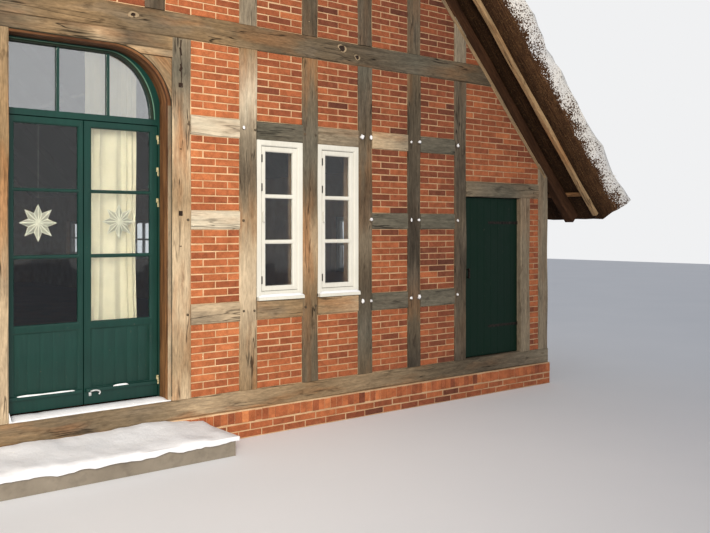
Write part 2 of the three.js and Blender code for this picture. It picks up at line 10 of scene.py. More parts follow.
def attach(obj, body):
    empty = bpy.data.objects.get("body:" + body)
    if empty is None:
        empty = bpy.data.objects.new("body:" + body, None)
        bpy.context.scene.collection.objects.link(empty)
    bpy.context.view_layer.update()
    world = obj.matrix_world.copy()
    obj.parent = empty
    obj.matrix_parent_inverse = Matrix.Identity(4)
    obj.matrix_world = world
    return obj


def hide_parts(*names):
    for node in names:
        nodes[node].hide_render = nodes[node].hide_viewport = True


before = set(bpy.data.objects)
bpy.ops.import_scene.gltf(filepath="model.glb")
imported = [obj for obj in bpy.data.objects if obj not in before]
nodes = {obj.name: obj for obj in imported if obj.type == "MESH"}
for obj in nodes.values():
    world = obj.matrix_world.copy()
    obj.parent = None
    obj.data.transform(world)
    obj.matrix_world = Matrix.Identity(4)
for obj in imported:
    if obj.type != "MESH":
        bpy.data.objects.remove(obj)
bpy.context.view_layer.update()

base = 0.25  # the sole plates lie this high on the brick plinth
print("frame loaded:", len(nodes), "nodes")

# the camera stands where the photo's did
view = {"place": (-1.873, -15.46, 1.855), "turn": -39.1, "lens": 43.1, "shiftY": -0.054, "far": 200}
bpy.ops.object.camera_add(location=view["place"], rotation=(math.pi / 2, 0, math.radians(view["turn"])))
camera = bpy.context.object
camera.data.lens = view["lens"]
camera.data.shift_y = view["shiftY"]
camera.data.clip_end = view["far"]
bpy.context.scene.camera = camera
bpy.context.scene.view_settings.view_transform = "Standard"

light = {"place": (-5.0, -20.5, 5.5), "aim": (0.6, -9.0, 2.6), "size": 4.5, "spread": 60, "power": 385,
         "color": (1.0, 0.91, 0.77), "sky": (0.93, 0.955, 1.0), "skyStrength": 0.43,
         "seenSky": (0.95, 0.955, 0.965), "seenStrength": 0.92}
bpy.ops.object.light_add(type="AREA", location=light["place"])
lamp = bpy.context.object
lamp.rotation_euler = (Vector(light["aim"]) - Vector(light["place"])).to_track_quat("-Z", "Y").to_euler()
lamp.data.size = light["size"]
lamp.data.spread = math.radians(light["spread"])
lamp.data.energy = light["power"]
lamp.data.color = light["color"]
lamp.visible_camera = False
lamp.visible_glossy = False

# the studio's walls look nearly white and are mirrored so, while they light the object more softly
world = bpy.data.worlds.new("studio")
bpy.context.scene.world = world
world.use_nodes = True
worldNodes, worldLinks = world.node_tree.nodes, world.node_tree.links
softLight, seenLight = worldNodes["Background"], worldNodes.new("ShaderNodeBackground")
for background, word in ((softLight, "sky"), (seenLight, "seen")):
    background.inputs["Color"].default_value = (*light["seenSky" if word == "seen" else word], 1)
    background.inputs["Strength"].default_value = light[word + "Strength"]
rays, either, skies = (worldNodes.new("ShaderNode" + kind) for kind in ("LightPath", "Math", "MixShader"))
either.operation = "MAXIMUM"
worldLinks.new(rays.outputs["Is Camera Ray"], either.inputs[0])
worldLinks.new(rays.outputs["Is Glossy Ray"], either.inputs[1])
for k, made in enumerate((either, softLight, seenLight)):
    worldLinks.new(made.outputs[0], skies.inputs[k])
worldLinks.new(skies.outputs[0], worldNodes["World Output"].inputs["Surface"])


def leaveEdit():
    if bpy.context.object and bpy.context.object.mode != "OBJECT":
        bpy.ops.object.mode_set(mode="OBJECT")


def deselectAll():
    leaveEdit()
    bpy.ops.object.select_all(action="DESELECT")


def makeActive(piece):
    deselectAll()
    piece.select_set(True)
    bpy.context.view_layer.objects.active = piece


def named(name):
    piece = bpy.context.object
    piece.name = name
    piece.data.name = name
    return piece


def applyPlace(piece):
    makeActive(piece)
    bpy.ops.object.transform_apply(location=True, rotation=True, scale=True)
    return piece


def addShape(primitive, name, **settings):
    deselectAll()
    primitive(**settings)
    return applyPlace(named(name))


def addBlock(name, low, high):
    return addShape(bpy.ops.mesh.primitive_cube_add, name, size=1, scale=[b - a for a, b in zip(low, high)],
                    location=[(a + b) / 2 for a, b in zip(low, high)])


def blockAt(name, origin, low, high):
    # a block whose two corners are told from an origin
    return addBlock(name, *([a + b for a, b in zip(origin, corner)] for corner in (low, high)))


def copyOf(template, name):
    piece = template.copy()
    piece.data = template.data.copy()
    piece.name = name
    bpy.context.scene.collection.objects.link(piece)
    return piece


def joinAll(name, parts):
    deselectAll()
    for part in parts:
        part.select_set(True)
    bpy.context.view_layer.objects.active = parts[0]
    if len(parts) > 1:
        bpy.ops.object.join()
    return named(name)


def pick(piece, test=lambda part: True, kind="FACE"):
    # selects the faces or edges of a piece that pass the test, in edit mode
    if bpy.context.object is not piece or piece.mode != "EDIT":
        makeActive(piece)
        bpy.ops.object.mode_set(mode="EDIT")
    bpy.ops.mesh.select_mode(type=kind)
    bpy.ops.mesh.select_all(action="DESELECT")
    shape = bmesh.from_edit_mesh(piece.data)
    for part in {"FACE": shape.faces, "EDGE": shape.edges}[kind]:
        part.select_set(bool(test(part)))
    bmesh.update_edit_mesh(piece.data)


def cutAt(piece, places, axis):
    # bisects the whole piece at each place along an axis
    pick(piece)
    normal = [0.0, 0.0, 0.0]
    normal[axis] = 1.0
    for place in places:
        bpy.ops.mesh.select_all(action="SELECT")
        bpy.ops.mesh.bisect(plane_co=[v * place for v in normal], plane_no=normal)
    leaveEdit()


def sliceOff(piece, place, normal, inner=False):
    # cuts away one side of a plane and closes the cut
    pick(piece)
    bpy.ops.mesh.bisect(plane_co=place, plane_no=normal, use_fill=True, clear_outer=not inner, clear_inner=inner)
    leaveEdit()
    return piece


def insetFront(piece, *steps):
    # steps of (thickness, depth) into the face that looks toward -Y
    pick(piece, lambda face: face.normal.y < -0.9)
    for thickness, depth in steps:
        bpy.ops.mesh.inset(thickness=thickness, depth=depth)
    leaveEdit()
    return piece


def bevelWhere(piece, test, offset, segments=1):
    pick(piece, test, "EDGE")
    bpy.ops.mesh.bevel(offset=offset, segments=segments, affect="EDGES")
    leaveEdit()
    return piece


def applyModifier(piece, kind, **settings):
    makeActive(piece)
    modifier = piece.modifiers.new("step", kind)
    for key, value in settings.items():
        setattr(modifier, key, value)
    bpy.ops.object.modifier_apply(modifier=modifier.name)
    return piece


def roundEdges(piece, width, segments=2, angle=30):
    return applyModifier(piece, "BEVEL", width=width, segments=segments, limit_method="ANGLE",
                         angle_limit=math.radians(angle), use_clamp_overlap=True)


def softened(piece, width=0.0015):
    return roundEdges(piece, width, 1, 40)


def repeated(piece, count, step):
    return applyModifier(piece, "ARRAY", count=count, use_relative_offset=False, use_constant_offset=True,
                         constant_offset_displace=step)


def smooth(piece, angle=40):
    makeActive(piece)
    bpy.ops.object.shade_smooth_by_angle(angle=math.radians(angle))
    return piece


def outward(piece):
    pick(piece)
    bpy.ops.mesh.remove_doubles(threshold=0.00005)
    bpy.ops.mesh.select_all(action="SELECT")
    bpy.ops.mesh.normals_make_consistent(inside=False)
    leaveEdit()
    return piece


def readPoints(piece):
    points = np.empty(len(piece.data.vertices) * 3)
    piece.data.vertices.foreach_get("co", points)
    return points.reshape(-1, 3)


def writePoints(piece, points):
    piece.data.vertices.foreach_set("co", np.asarray(points, float).ravel())
    piece.data.update()


def writeAttribute(piece, name, values):
    # one, three or four numbers at each point make a value, a vector or a color
    values = np.asarray(values, float)
    kind, key = {1: ("FLOAT", "value"), 3: ("FLOAT_VECTOR", "vector"), 4: ("FLOAT_COLOR", "color")}[
        values.shape[1] if values.ndim > 1 else 1]
    attribute = piece.data.attributes.get(name) or piece.data.attributes.new(name, kind, "POINT")
    attribute.data.foreach_set(key, values.ravel())


def stacked(*values):
    return np.stack(values, 1)


def setOn(wall, piece, points):
    # gives a piece its points, told in a wall's own places
    turn = np.array(walls[wall])
    writePoints(piece, points @ turn[:3, :3].T + turn[:3, 3])


def mirrorX(piece):
    writePoints(piece, readPoints(piece) * (-1, 1, 1))
    piece.data.flip_normals()
    return piece


def onSide(piece, side):
    # pieces of both halves are modelled on the right
    return mirrorX(piece) if side < 0 else piece


def hand(piece, body, slot, *replaced):
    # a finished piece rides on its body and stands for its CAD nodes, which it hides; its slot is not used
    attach(piece, body)
    if replaced:
        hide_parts(*replaced)
    return piece


def finish(piece, look, slot, *replaced, body="house", angle=40):
    return hand(dress(smooth(piece, angle), look), body, slot, *replaced)


upright = (math.pi / 2, 0, 0)  # turns a flat or round primitive toward the gable's front
# a wall's own places are (along it, into it, over the sole's underside)
halfWidth, halfLength = 6.36, 9.0
walls = {}
for word, turned, place in (("front", (1, 0, 0, 1), (0, -halfLength)), ("rear", (-1, 0, 0, -1), (0, halfLength)),
                            ("right", (0, -1, 1, 0), (halfWidth, 0)), ("left", (0, 1, -1, 0), (-halfWidth, 0))):
    walls[word] = Matrix(((*turned[:2], 0, place[0]), (*turned[2:], 0, place[1]), (0, 0, 1, base), (0, 0, 0, 1)))
pitch = math.radians(47)
eaves = 2.203
apex = eaves + halfWidth * math.tan(pitch)
# a roof slope's own places are (along the ridge, out of the slope, down the slope)
sides = (("right", 1), ("left", -1))
for word, sign in sides:
    walls["roof_" + word] = Matrix(((0, sign * math.sin(pitch), sign * math.cos(pitch), 0), (sign, 0, 0, 0),
                                    (0, math.cos(pitch), -math.sin(pitch), base + apex), (0, 0, 0, 1)))


def cutUnderRafters(piece, gap=0.004):
    for side in (1, -1):
        sliceOff(piece, (side * halfWidth, 0, base + eaves - gap / math.cos(pitch)),
                 (side * math.sin(pitch), 0, math.cos(pitch)))
    return piece


# materials: the helpers below draw into the tree that was started last
drawn = {}


def srgb(red, green, blue):
    return tuple((v / 255 / 12.92) if v <= 10 else ((v / 255 + 0.055) / 1.055) ** 2.4 for v in (red, green, blue))


def feed(made, inputs):
    for key, value in inputs.items():
        if isinstance(value, bpy.types.NodeSocket):
            drawn["tree"].links.new(value, made.inputs[key])
        else:
            made.inputs[key].default_value = value
    return made


def node(kind, inputs, **settings):
    made = drawn["tree"].nodes.new("ShaderNode" + kind)
    for key, value in settings.items():
        setattr(made, key, value)
    return feed(made, inputs)


def noise(place, scale, detail=3.0, roughness=0.55, stretch=(1, 1, 1), distortion=0.0, shift=(0, 0, 0)):
    # noise whose grain is stretched by a mapping
    mapped = node("Mapping", {"Vector": place, "Scale": stretch, "Location": shift}).outputs[0]
    return node("TexNoise", {"Vector": mapped, "Scale": scale, "Detail": detail, "Roughness": roughness,
                             "Distortion": distortion}).outputs["Fac"]


def spread(value, low, high, toLow=0.0, toHigh=1.0):
    return node("MapRange", {"Value": value, "From Min": low, "From Max": high, "To Min": toLow, "To Max": toHigh},
                clamp=True).outputs[0]


def calc(operation, first, second=0.0):
    return node("Math", {0: first, 1: second}, operation=operation).outputs[0]


def plus(first, second):
    return calc("ADD", first, second)


def times(first, second):
    return calc("MULTIPLY", first, second)


def blend(factor, first, second, kind="MIX"):
    colors = [(*c, 1) if isinstance(c, tuple) else c for c in (first, second)]
    return node("Mix", {0: factor, 6: colors[0], 7: colors[1]}, data_type="RGBA", blend_type=kind).outputs[2]


def grey(value):
    return node("CombineColor", {0: value, 1: value, 2: value}).outputs[0]


def objectPlace():
    return node("TexCoord", {}).outputs["Object"]


def attribute(name, kind="Vector"):
    return node("Attribute", {}, attribute_name=name).outputs[kind]


def startGroup(name, outputs, **inputs):
    # every group is given a place; the other inputs are values or colors
    group = drawn["tree"] = bpy.data.node_groups.new(name, "ShaderNodeTree")
    group.interface.new_socket("Place", in_out="INPUT", socket_type="NodeSocketVector")
    for label, value in inputs.items():
        kind = "NodeSocketFloat" if isinstance(value, float) else "NodeSocketColor"
        group.interface.new_socket(label, in_out="INPUT", socket_type=kind).default_value = value
    for label in outputs.split():
        kind = "NodeSocketColor" if label == "Color" else "NodeSocketFloat"
        group.interface.new_socket(label, in_out="OUTPUT", socket_type=kind)
    return group.nodes.new("NodeGroupInput").outputs


def finishGroup(**results):
    feed(drawn["tree"].nodes.new("NodeGroupOutput"), results)
    return drawn["tree"]


def grainGroup():
    # fibres, streaks, drying cracks and stains along the first axis of Place
    given = startGroup("oakGrain", "Color Roughness Height Streaks Patches", Cracks=1.0)
    place = given["Place"]
    streaks = noise(place, 1.0, 5, 0.65, (2.2, 34, 34), 0.3)
    fibres = noise(place, 1.0, 4, 0.65, (16, 85, 85))
    patches = noise(place, 1.0, 3, 0.55, (1.7, 5, 5), 0.4, (3, 1, 7))
    lines = noise(place, 1.0, 2, 0.5, (1.1, 17, 17), 0.3, (11, 4, 2))
    thin = spread(calc("ABSOLUTE", calc("SUBTRACT", lines, 0.5)), 0.003, 0.017, 1, 0)
    where = spread(noise(place, 1.0, 2, 0.5, (2.2, 8, 8), shift=(5, 9, 1)), 0.54, 0.62)
    cracks = times(times(thin, where), given["Cracks"])
    blots = spread(noise(place, 1.0, 3, 0.6, (4.5, 17, 17), 0.6, (8, 2, 5)), 0.6, 0.72)
    stains = times(blots, given["Cracks"])
    bright = times(spread(streaks, 0.33, 0.67, 0.7, 1.22), spread(fibres, 0.36, 0.64, 0.78, 1.18))
    bright = times(bright, spread(patches, 0.35, 0.65, 0.8, 1.14))
    dark = blend(times(cracks, 0.88), grey(bright), (0.05, 0.04, 0.032))
    relief = calc("SUBTRACT", plus(times(streaks, 0.8), times(fibres, 0.4)), cracks)
    return finishGroup(Color=blend(times(stains, 0.6), dark, (0.16, 0.13, 0.11)), Height=relief,
                       Roughness=spread(streaks, 0.2, 0.8, 0.95, 0.75), Streaks=streaks, Patches=patches)


def clayGroup():
    # fired clay: the tone runs from dark burnt to light orange, with pits and pale bloom
    given = startGroup("firedClay", "Color Roughness Height", Tone=0.5)
    place = given["Place"]
    ramp = node("ValToRGB", {0: given["Tone"]})
    band = ramp.color_ramp
    for k, color in enumerate((srgb(84, 47, 34), srgb(186, 117, 74))):
        band.elements[k].position, band.elements[k].color = k, (*color, 1)
    for position, color in ((0.3, srgb(120, 65, 43)), (0.6, srgb(153, 87, 54)), (0.85, srgb(171, 102, 64))):
        band.elements.new(position).color = (*color, 1)
    clouds, pits = noise(place, 14, 4, 0.6), noise(place, 90, 3, 0.6)
    shade = spread(plus(times(clouds, 0.7), times(pits, 0.5)), 0.47, 0.73, 0.74, 1.18)
    fired = blend(1.0, ramp.outputs[0], grey(shade), "MULTIPLY")
    bloom = spread(noise(place, 7, 4, 0.65, shift=(2, 5, 3)), 0.6, 0.78, 0, 0.22)
    return finishGroup(Color=blend(bloom, fired, srgb(200, 140, 100)), Roughness=spread(clouds, 0.3, 0.7, 0.95, 0.8),
                       Height=plus(times(pits, 0.6), times(clouds, 0.4)))


def paintGroup():
    # brushed paint: faint runs along the wood, dust in the low places and thin chips
    given = startGroup("brushedPaint", "Color Roughness Height", Paint=(0.1, 0.3, 0.2, 1), Faded=(0.2, 0.4, 0.3, 1),
                       Wear=0.4)
    place = given["Place"]
    runs, clouds = noise(place, 1.0, 4, 0.6, (60, 60, 4)), noise(place, 3.0, 4, 0.6)
    faded = times(spread(plus(times(runs, 0.5), times(clouds, 0.6)), 0.4, 0.72), given["Wear"])
    chips = times(spread(noise(place, 38, 3, 0.7), 0.7, 0.74), given["Wear"])
    color = blend(chips, blend(faded, given["Paint"], given["Faded"]), (0.16, 0.13, 0.1))
    return finishGroup(Color=color, Roughness=spread(clouds, 0.3, 0.7, 0.38, 0.6),
                       Height=calc("SUBTRACT", times(runs, 0.5), chips))


groups = {"grain": grainGroup(), "clay": clayGroup(), "paint": paintGroup()}


def useGroup(name, **inputs):
    made = drawn["tree"].nodes.new("ShaderNodeGroup")
    made.node_tree = groups[name]
    return feed(made, inputs).outputs


def startMaterial(name, **settings):
    material = drawn["material"] = bpy.data.materials.new(name)
    material.use_nodes = True
    drawn["tree"] = material.node_tree
    drawn["shader"] = material.node_tree.nodes["Principled BSDF"]
    feed(drawn["shader"], {key.replace("_", " "): value for key, value in settings.items()})


def finishMaterial(color, height, strength, distance, **inputs):
    bump = node("Bump", {"Height": height, "Strength": strength, "Distance": distance}).outputs[0]
    feed(drawn["shader"], {"Base Color": color, "Normal": bump, **inputs})
    return drawn["material"]


def timberMaterial():
    # each timber carries its grain's place and its weathering: bleached, tan, dark and mossy shares
    startMaterial("weatheredOak", Specular_IOR_Level=0.3)
    place = attribute("grain")
    grain = useGroup("grain", Place=place, Cracks=1.0)
    share = node("SeparateColor", {0: attribute("weather", "Color")}).outputs
    color = blend(share[1], srgb(98, 90, 78), srgb(174, 142, 102))
    color = blend(share[0], color, srgb(204, 194, 174))
    color = blend(share[2], color, srgb(54, 46, 38))
    color = blend(attribute("weather", "Alpha"), color, srgb(88, 88, 78))
    color = blend(spread(grain["Patches"], 0.5, 0.66, 0, 0.55), color, srgb(88, 80, 70))
    warm = spread(noise(place, 1.0, 3, 0.5, (1.3, 6, 6), shift=(9, 3, 4)), 0.5, 0.66, 0, 0.7)
    color = blend(times(warm, share[1]), color, srgb(150, 100, 58))
    contrast = calc("SUBTRACT", 1.0, times(share[0], 0.45))
    color = blend(contrast, color, grain["Color"], "MULTIPLY")
    return finishMaterial(color, grain["Height"], 0.85, 0.008, Roughness=grain["Roughness"])


def rafterShadeMaterial():
    # the rafters under the thatch are oak darkened almost to black, painted shade for the roof's dark underside
    startMaterial("rafterShadeOak", Specular_IOR_Level=0.2)
    grain = useGroup("grain", Place=attribute("grain"), Cracks=0.5)
    color = blend(1.0, blend(grain["Patches"], srgb(40, 26, 18), srgb(72, 48, 32)), grain["Color"], "MULTIPLY")
    return finishMaterial(color, grain["Height"], 0.6, 0.006, Roughness=grain["Roughness"])


def liningMaterial():
    # oiled reddish boards, their grain and their shaded arch given by attributes
    startMaterial("liningBoards", Roughness=0.6, Specular_IOR_Level=0.3)
    grain = useGroup("grain", Place=attribute("grain"), Cracks=0.4)
    color = blend(spread(grain["Streaks"], 0.35, 0.65), srgb(88, 59, 37), srgb(150, 109, 71))
    shaded = node("SeparateColor", {0: attribute("weather", "Color")}).outputs[2]
    color = blend(times(shaded, 0.75), color, srgb(62, 32, 18))
    return finishMaterial(blend(0.8, color, grain["Color"], "MULTIPLY"), grain["Height"], 0.4, 0.004)


def brickMaterial():
    startMaterial("firedBrick")
    clay = useGroup("clay", Place=objectPlace(), Tone=attribute("brickTone", "Fac"))
    return finishMaterial(clay["Color"], clay["Height"], 0.6, 0.003, Roughness=clay["Roughness"])


def mortarMaterial():
    # the mortar darkens away from the middle, a painted shade
    startMaterial("limeMortar", Roughness=0.95)
    place = objectPlace()
    clouds, grit = noise(place, 5, 4, 0.6), noise(place, 160, 3, 0.6)
    color = blend(spread(clouds, 0.35, 0.65), srgb(214, 184, 148), srgb(184, 150, 116))
    color = blend(spread(grit, 0.55, 0.7, 0, 0.4), color, srgb(140, 108, 84))
    # painted shade away from the middle
    fromMiddle = calc("ABSOLUTE", node("SeparateXYZ", {0: place}).outputs["X"])
    color = blend(spread(fromMiddle, 1.6, 4.4, 0, 0.45), color, srgb(128, 92, 70))
    return finishMaterial(color, grit, 0.6, 0.003)


def paintMaterial(name, paint, faded, wear, coat=0.0, specular=0.5):
    startMaterial(name, Coat_Weight=coat, Specular_IOR_Level=specular)
    made = useGroup("paint", Place=objectPlace(), Paint=(*paint, 1), Faded=(*faded, 1), Wear=wear)
    return finishMaterial(made["Color"], made["Height"], 0.25, 0.002, Roughness=made["Roughness"])


def glassMaterial(name, bend):
    # old drawn glass, slightly uneven and dusty; the lights under the arch mirror more of the sky
    startMaterial(name, Transmission_Weight=1.0, IOR=bend)
    place = objectPlace()
    waves, dust = noise(place, 2.2, 2, 0.5), noise(place, 9, 4, 0.65)
    return finishMaterial(blend(dust, (0.96, 0.98, 0.98), (0.84, 0.88, 0.9)), waves, 0.25, 0.02,
                          Roughness=spread(dust, 0.35, 0.75, 0.0, 0.05))


def snowMaterial():
    startMaterial("freshSnow", Roughness=0.85)
    place = objectPlace()
    soft, crystals = noise(place, 6, 5, 0.6), noise(place, 220, 2, 0.5)
    return finishMaterial(blend(soft, srgb(232, 233, 238), srgb(216, 219, 228)), plus(soft, times(crystals, 0.12)),
                          0.6, 0.02)


def thatchMaterial():
    # reed runs down the slope; the snow share is an attribute, broken into speckles where it thins out; where the share
    # is low the reed is darkened as painted shade, under the eaves and low on the verge face
    startMaterial("snowyReed", Roughness=0.95, Specular_IOR_Level=0.15)
    place = attribute("reed")
    stalks = noise(place, 1.0, 4, 0.65, (140, 110, 4))
    bundles = noise(place, 1.0, 3, 0.55, (14, 14, 1.2))
    ends = noise(place, 62, 3, 0.6)
    color = blend(spread(stalks, 0.36, 0.64), srgb(42, 27, 18), srgb(112, 80, 54))
    color = blend(spread(bundles, 0.38, 0.62, 0, 0.7), color, srgb(64, 44, 30))
    color = blend(spread(ends, 0.56, 0.68, 0, 0.5), color, srgb(150, 116, 78))
    coverAndShade = attribute("snowAndShade", "Fac")
    # painted shade: the reed darkens where the snow share is low
    color = blend(1.0, color, grey(spread(coverAndShade, -1.2, 0.25, 0.42, 1.0)), "MULTIPLY")
    flakes = plus(times(ends, 1.1), times(noise(place, 7, 3, 0.6, shift=(2, 6, 3)), 0.5))
    drifts = noise(place, 0.9, 5, 0.6, (0.6, 1, 1), 0.4)
    lying = blend(spread(drifts, 0.4, 0.62), srgb(250, 248, 244), srgb(234, 236, 241))
    color = blend(spread(plus(flakes, coverAndShade), 1.14, 1.22), color, lying)
    return finishMaterial(color, plus(times(stalks, 0.5), times(ends, 0.7)), 0.9, 0.02)


def stoneMaterial(name, dark, pale, scale):
    startMaterial(name, Roughness=0.9)
    place = objectPlace()
    clouds, grit = noise(place, scale, 5, 0.6), noise(place, scale * 22, 3, 0.6)
    veins = spread(noise(place, scale * 3, 3, 0.6), 0.5, 0.75)
    color = blend(times(veins, 0.4), blend(clouds, dark, pale), tuple(v * 0.5 for v in dark))
    return finishMaterial(color, plus(clouds, times(grit, 0.4)), 0.6, 0.006)


def tileMaterial():
    # square clay tiles on the ground floor
    startMaterial("floorTiles", Roughness=0.8)
    place = objectPlace()
    tiles = node("TexBrick", {"Vector": place, "Scale": 3.3, "Mortar Size": 0.02, "Brick Width": 1.0, "Row Height": 1.0,
                              "Color1": (*srgb(120, 66, 46), 1), "Color2": (*srgb(140, 84, 60), 1),
                              "Mortar": (*srgb(96, 86, 78), 1)}, offset=0.0).outputs
    clouds = noise(place, 4, 4, 0.6)
    return finishMaterial(blend(spread(clouds, 0.3, 0.8, 0, 0.6), tiles["Color"], srgb(84, 62, 50)),
                          calc("SUBTRACT", clouds, tiles["Fac"]), 0.4, 0.004)


def clothMaterial():
    startMaterial("curtainCloth", Roughness=0.9, Sheen_Weight=0.2, Emission_Strength=0.21)
    place = attribute("weave")
    warp, weft = (node("TexWave", {"Vector": place, "Scale": 160}, wave_type="BANDS",
                       bands_direction=axis).outputs["Fac"] for axis in "XY")
    cream = blend(noise(place, 3, 4, 0.6), srgb(220, 213, 188), srgb(202, 192, 162))
    # the cloth glows by emission: painted light for the daylight behind it shining through
    return finishMaterial(cream, plus(warp, weft), 0.2, 0.001, **{"Emission Color": cream})


def metalMaterial(name, dark, pale, metallic, roughness):
    startMaterial(name, Metallic=metallic)
    spots = noise(objectPlace(), 60, 4, 0.65)
    return finishMaterial(blend(spread(spots, 0.4, 0.65), dark, pale), spots, 0.2, 0.0008,
                          Roughness=spread(spots, 0.3, 0.7, roughness + 0.15, roughness - 0.1))


def paperMaterial(name, bright, dim, glow):
    # the paper glows by emission, painted light for the daylight behind it
    startMaterial(name, Roughness=0.7, Emission_Strength=glow)
    pulp = noise(objectPlace(), 60, 4, 0.6)
    pale = blend(pulp, bright, dim)
    return finishMaterial(pale, pulp, 0.2, 0.001, **{"Emission Color": pale})


def floorMaterial():
    startMaterial("paleFloor", Roughness=0.9)
    shade = noise(objectPlace(), 0.6, 3, 0.5)
    feed(drawn["shader"], {"Base Color": blend(shade, srgb(238, 240, 246), srgb(230, 233, 240))})
    return drawn["material"]


looks = {
    "gatePaint": paintMaterial("gatePaint", srgb(9, 42, 37), srgb(22, 60, 53), 0.5, 0.1, 0.4),
    # the pale green of the arch's outer bead is a painted highlight
    "beadHighlight": paintMaterial("beadHighlight", srgb(70, 104, 90), srgb(110, 138, 120), 0.5, 0.1, 0.4),
    "doorPaint": paintMaterial("doorPaint", srgb(7, 28, 20), srgb(12, 36, 27), 0.4, 0.0, 0.12),
    "windowPaint": paintMaterial("windowPaint", srgb(208, 208, 202), srgb(182, 180, 172), 0.5, 0.05, 0.4),
    "char": paintMaterial("charredOak", srgb(26, 19, 14), srgb(54, 40, 30), 0.7, specular=0.2),
    # a dark colour for strips that paint shadow into narrow gaps and rebates
    "shadowStrip": paintMaterial("paintedShadowStrip", srgb(26, 36, 28), srgb(44, 46, 36), 0.5, specular=0.3),
    "oak": timberMaterial(),
    "rafterShade": rafterShadeMaterial(),
    "lining": liningMaterial(),
    "brick": brickMaterial(),
    "mortar": mortarMaterial(),
    "glass": glassMaterial("drawnGlass", 1.44),
    "skyGlass": glassMaterial("archGlass", 3.0),
    "snow": snowMaterial(),
    "thatch": thatchMaterial(),
    "stone": stoneMaterial("stepStone", srgb(96, 88, 78), srgb(150, 142, 130), 3.0),
    "floor": tileMaterial(),
    "cloth": clothMaterial(),
    "brass": metalMaterial("wornBrass", srgb(150, 138, 100), srgb(214, 204, 166), 0.3, 0.45),
    "iron": metalMaterial("blackIron", srgb(28, 26, 25), srgb(58, 50, 44), 0.8, 0.6),
    "steel": metalMaterial("brushedSteel", srgb(190, 192, 194), srgb(236, 237, 238), 0.55, 0.3),
    "paper": paperMaterial("foldedPaper", srgb(222, 220, 202), srgb(194, 190, 168), 0.16),
    # darker, dimmer paper for the star's inner fields, painted shade
    "shadedPaperField": paperMaterial("shadedPaperField", srgb(186, 184, 164), srgb(150, 146, 126), 0.06),
    "studioFloor": floorMaterial(),
}


def dress(piece, look):
    piece.data.materials.clear()
    piece.data.materials.append(looks[look])
    return piece


def dressPart(piece, look, test):
    # a second finish on the faces that pass the test
    piece.data.materials.append(looks[look])
    slot = len(piece.data.materials) - 1
    for face in piece.data.polygons:
        if test(face.center):
            face.material_index = slot


print("materials made:", len(looks))

timberLook = {"depth": 0.14, "chamfer": (0.003, 0.014), "wave": 0.005, "backWave": 0.003, "proud": 0.001,
              "cornerShare": 0.06, "longParts": 22, "shortParts": 7, "shortUnder": 1.3, "fade": 0.08, "butt": 0.001}
weathers = {  # shares of bleached, tan, dark and mossy
    "grey": (0.2, 0.2, 0.15, 0.1), "warmGrey": (0.1, 0.6, 0.1, 0.0), "tan": (0.45, 0.9, 0.0, 0.0),
    "bleached": (0.9, 0.4, 0.0, 0.0), "dark": (0.0, 0.15, 0.6, 0.1), "brown": (0.0, 0.75, 0.35, 0.0),
    "black": (0.0, 0.05, 0.9, 0.1), "umber": (0.0, 0.4, 0.5, 0.2), "slate": (0.12, 0.0, 0.3, 0.5),
    # the last mix is a warm tan, partly painted sunlight for the verge batten
    "golden": (0.3, 1.0, 0.0, 0.0), "strawAndSunlight": (0.05, 1.0, 0.0, 0.0),
}
dice = np.random.default_rng(17)


def beamTemplate(name, parts):
    # a unit beam along X with chamfered long edges, cut into short lengths
    beam = addShape(bpy.ops.mesh.primitive_cube_add, name, size=1, location=(0.5, 0, 0))
    bevelWhere(beam, lambda edge: abs(edge.verts[0].co.x - edge.verts[1].co.x) > 0.5, timberLook["cornerShare"])
    cutAt(beam, [i / parts for i in range(1, parts)], 0)
    return beam


beams = {"long": beamTemplate("longBeam", timberLook["longParts"]),
         "short": beamTemplate("shortBeam", timberLook["shortParts"])}


def rolling(along, amount, pieces=3):
    # a slow wave along a timber, as an adze leaves it
    total = np.zeros_like(along)
    for k in range(pieces):
        total += np.sin(along * dice.uniform(1.5, 9) + dice.uniform(0, 6.3)) * dice.uniform(0.3, 1.0)
    return total * amount / pieces


def layTimber(wall, start, end, width, weather, depth=timberLook["depth"], face=0.0):
    # a hewn timber in a wall's plane, from start to end as (along, height), and its weathering along the way
    start, end = np.array(start, float), np.array(end, float)
    length = np.linalg.norm(end - start)
    (alongS, alongH) = (end - start) / length
    piece = copyOf(beams["short" if length < timberLook["shortUnder"] else "long"], "timber")
    t, u, v = readPoints(piece).T
    corner = (u > 0).astype(int) * 2 + (v > 0)
    chamfer = np.empty_like(t)
    low, high = timberLook["chamfer"]
    for k in range(4):
        held = corner == k
        swell = np.sin(t[held] * length * dice.uniform(2, 7) + dice.uniform(0, 6))
        chamfer[held] = low + (high - low) * (0.5 + 0.5 * swell)
    insetU = (0.5 - np.abs(u)) / timberLook["cornerShare"] * chamfer
    insetV = (0.5 - np.abs(v)) / timberLook["cornerShare"] * chamfer
    wave = rolling(t * length, timberLook["wave"])
    across = np.sign(u) * (width / 2 + timberLook["proud"] - insetU) + wave
    into = depth / 2 + np.sign(v) * (depth / 2 - insetV) + rolling(t * length, timberLook["backWave"]) * (v < 0)
    s = start[0] + alongS * t * length + alongH * across
    h = start[1] + alongH * t * length - alongS * across
    setOn(wall, piece, stacked(s, face + into, h))
    writeAttribute(piece, "grain", stacked(t * length, across, into) + dice.uniform(0, 40, 3))
    stages = np.array([weathers[word] for word in weather.split()])
    where = np.linspace(0, 1, len(stages))
    own = stacked(*(np.interp(t, where, stage) for stage in stages.T))
    own += dice.uniform(-timberLook["fade"], timberLook["fade"], 4)
    writeAttribute(piece, "weather", np.clip(own, 0, 1))
    return piece


def post(wall, center, low, high, weather, width=0.178, **more):
    return layTimber(wall, (center, low), (center, high), width, weather, **more)


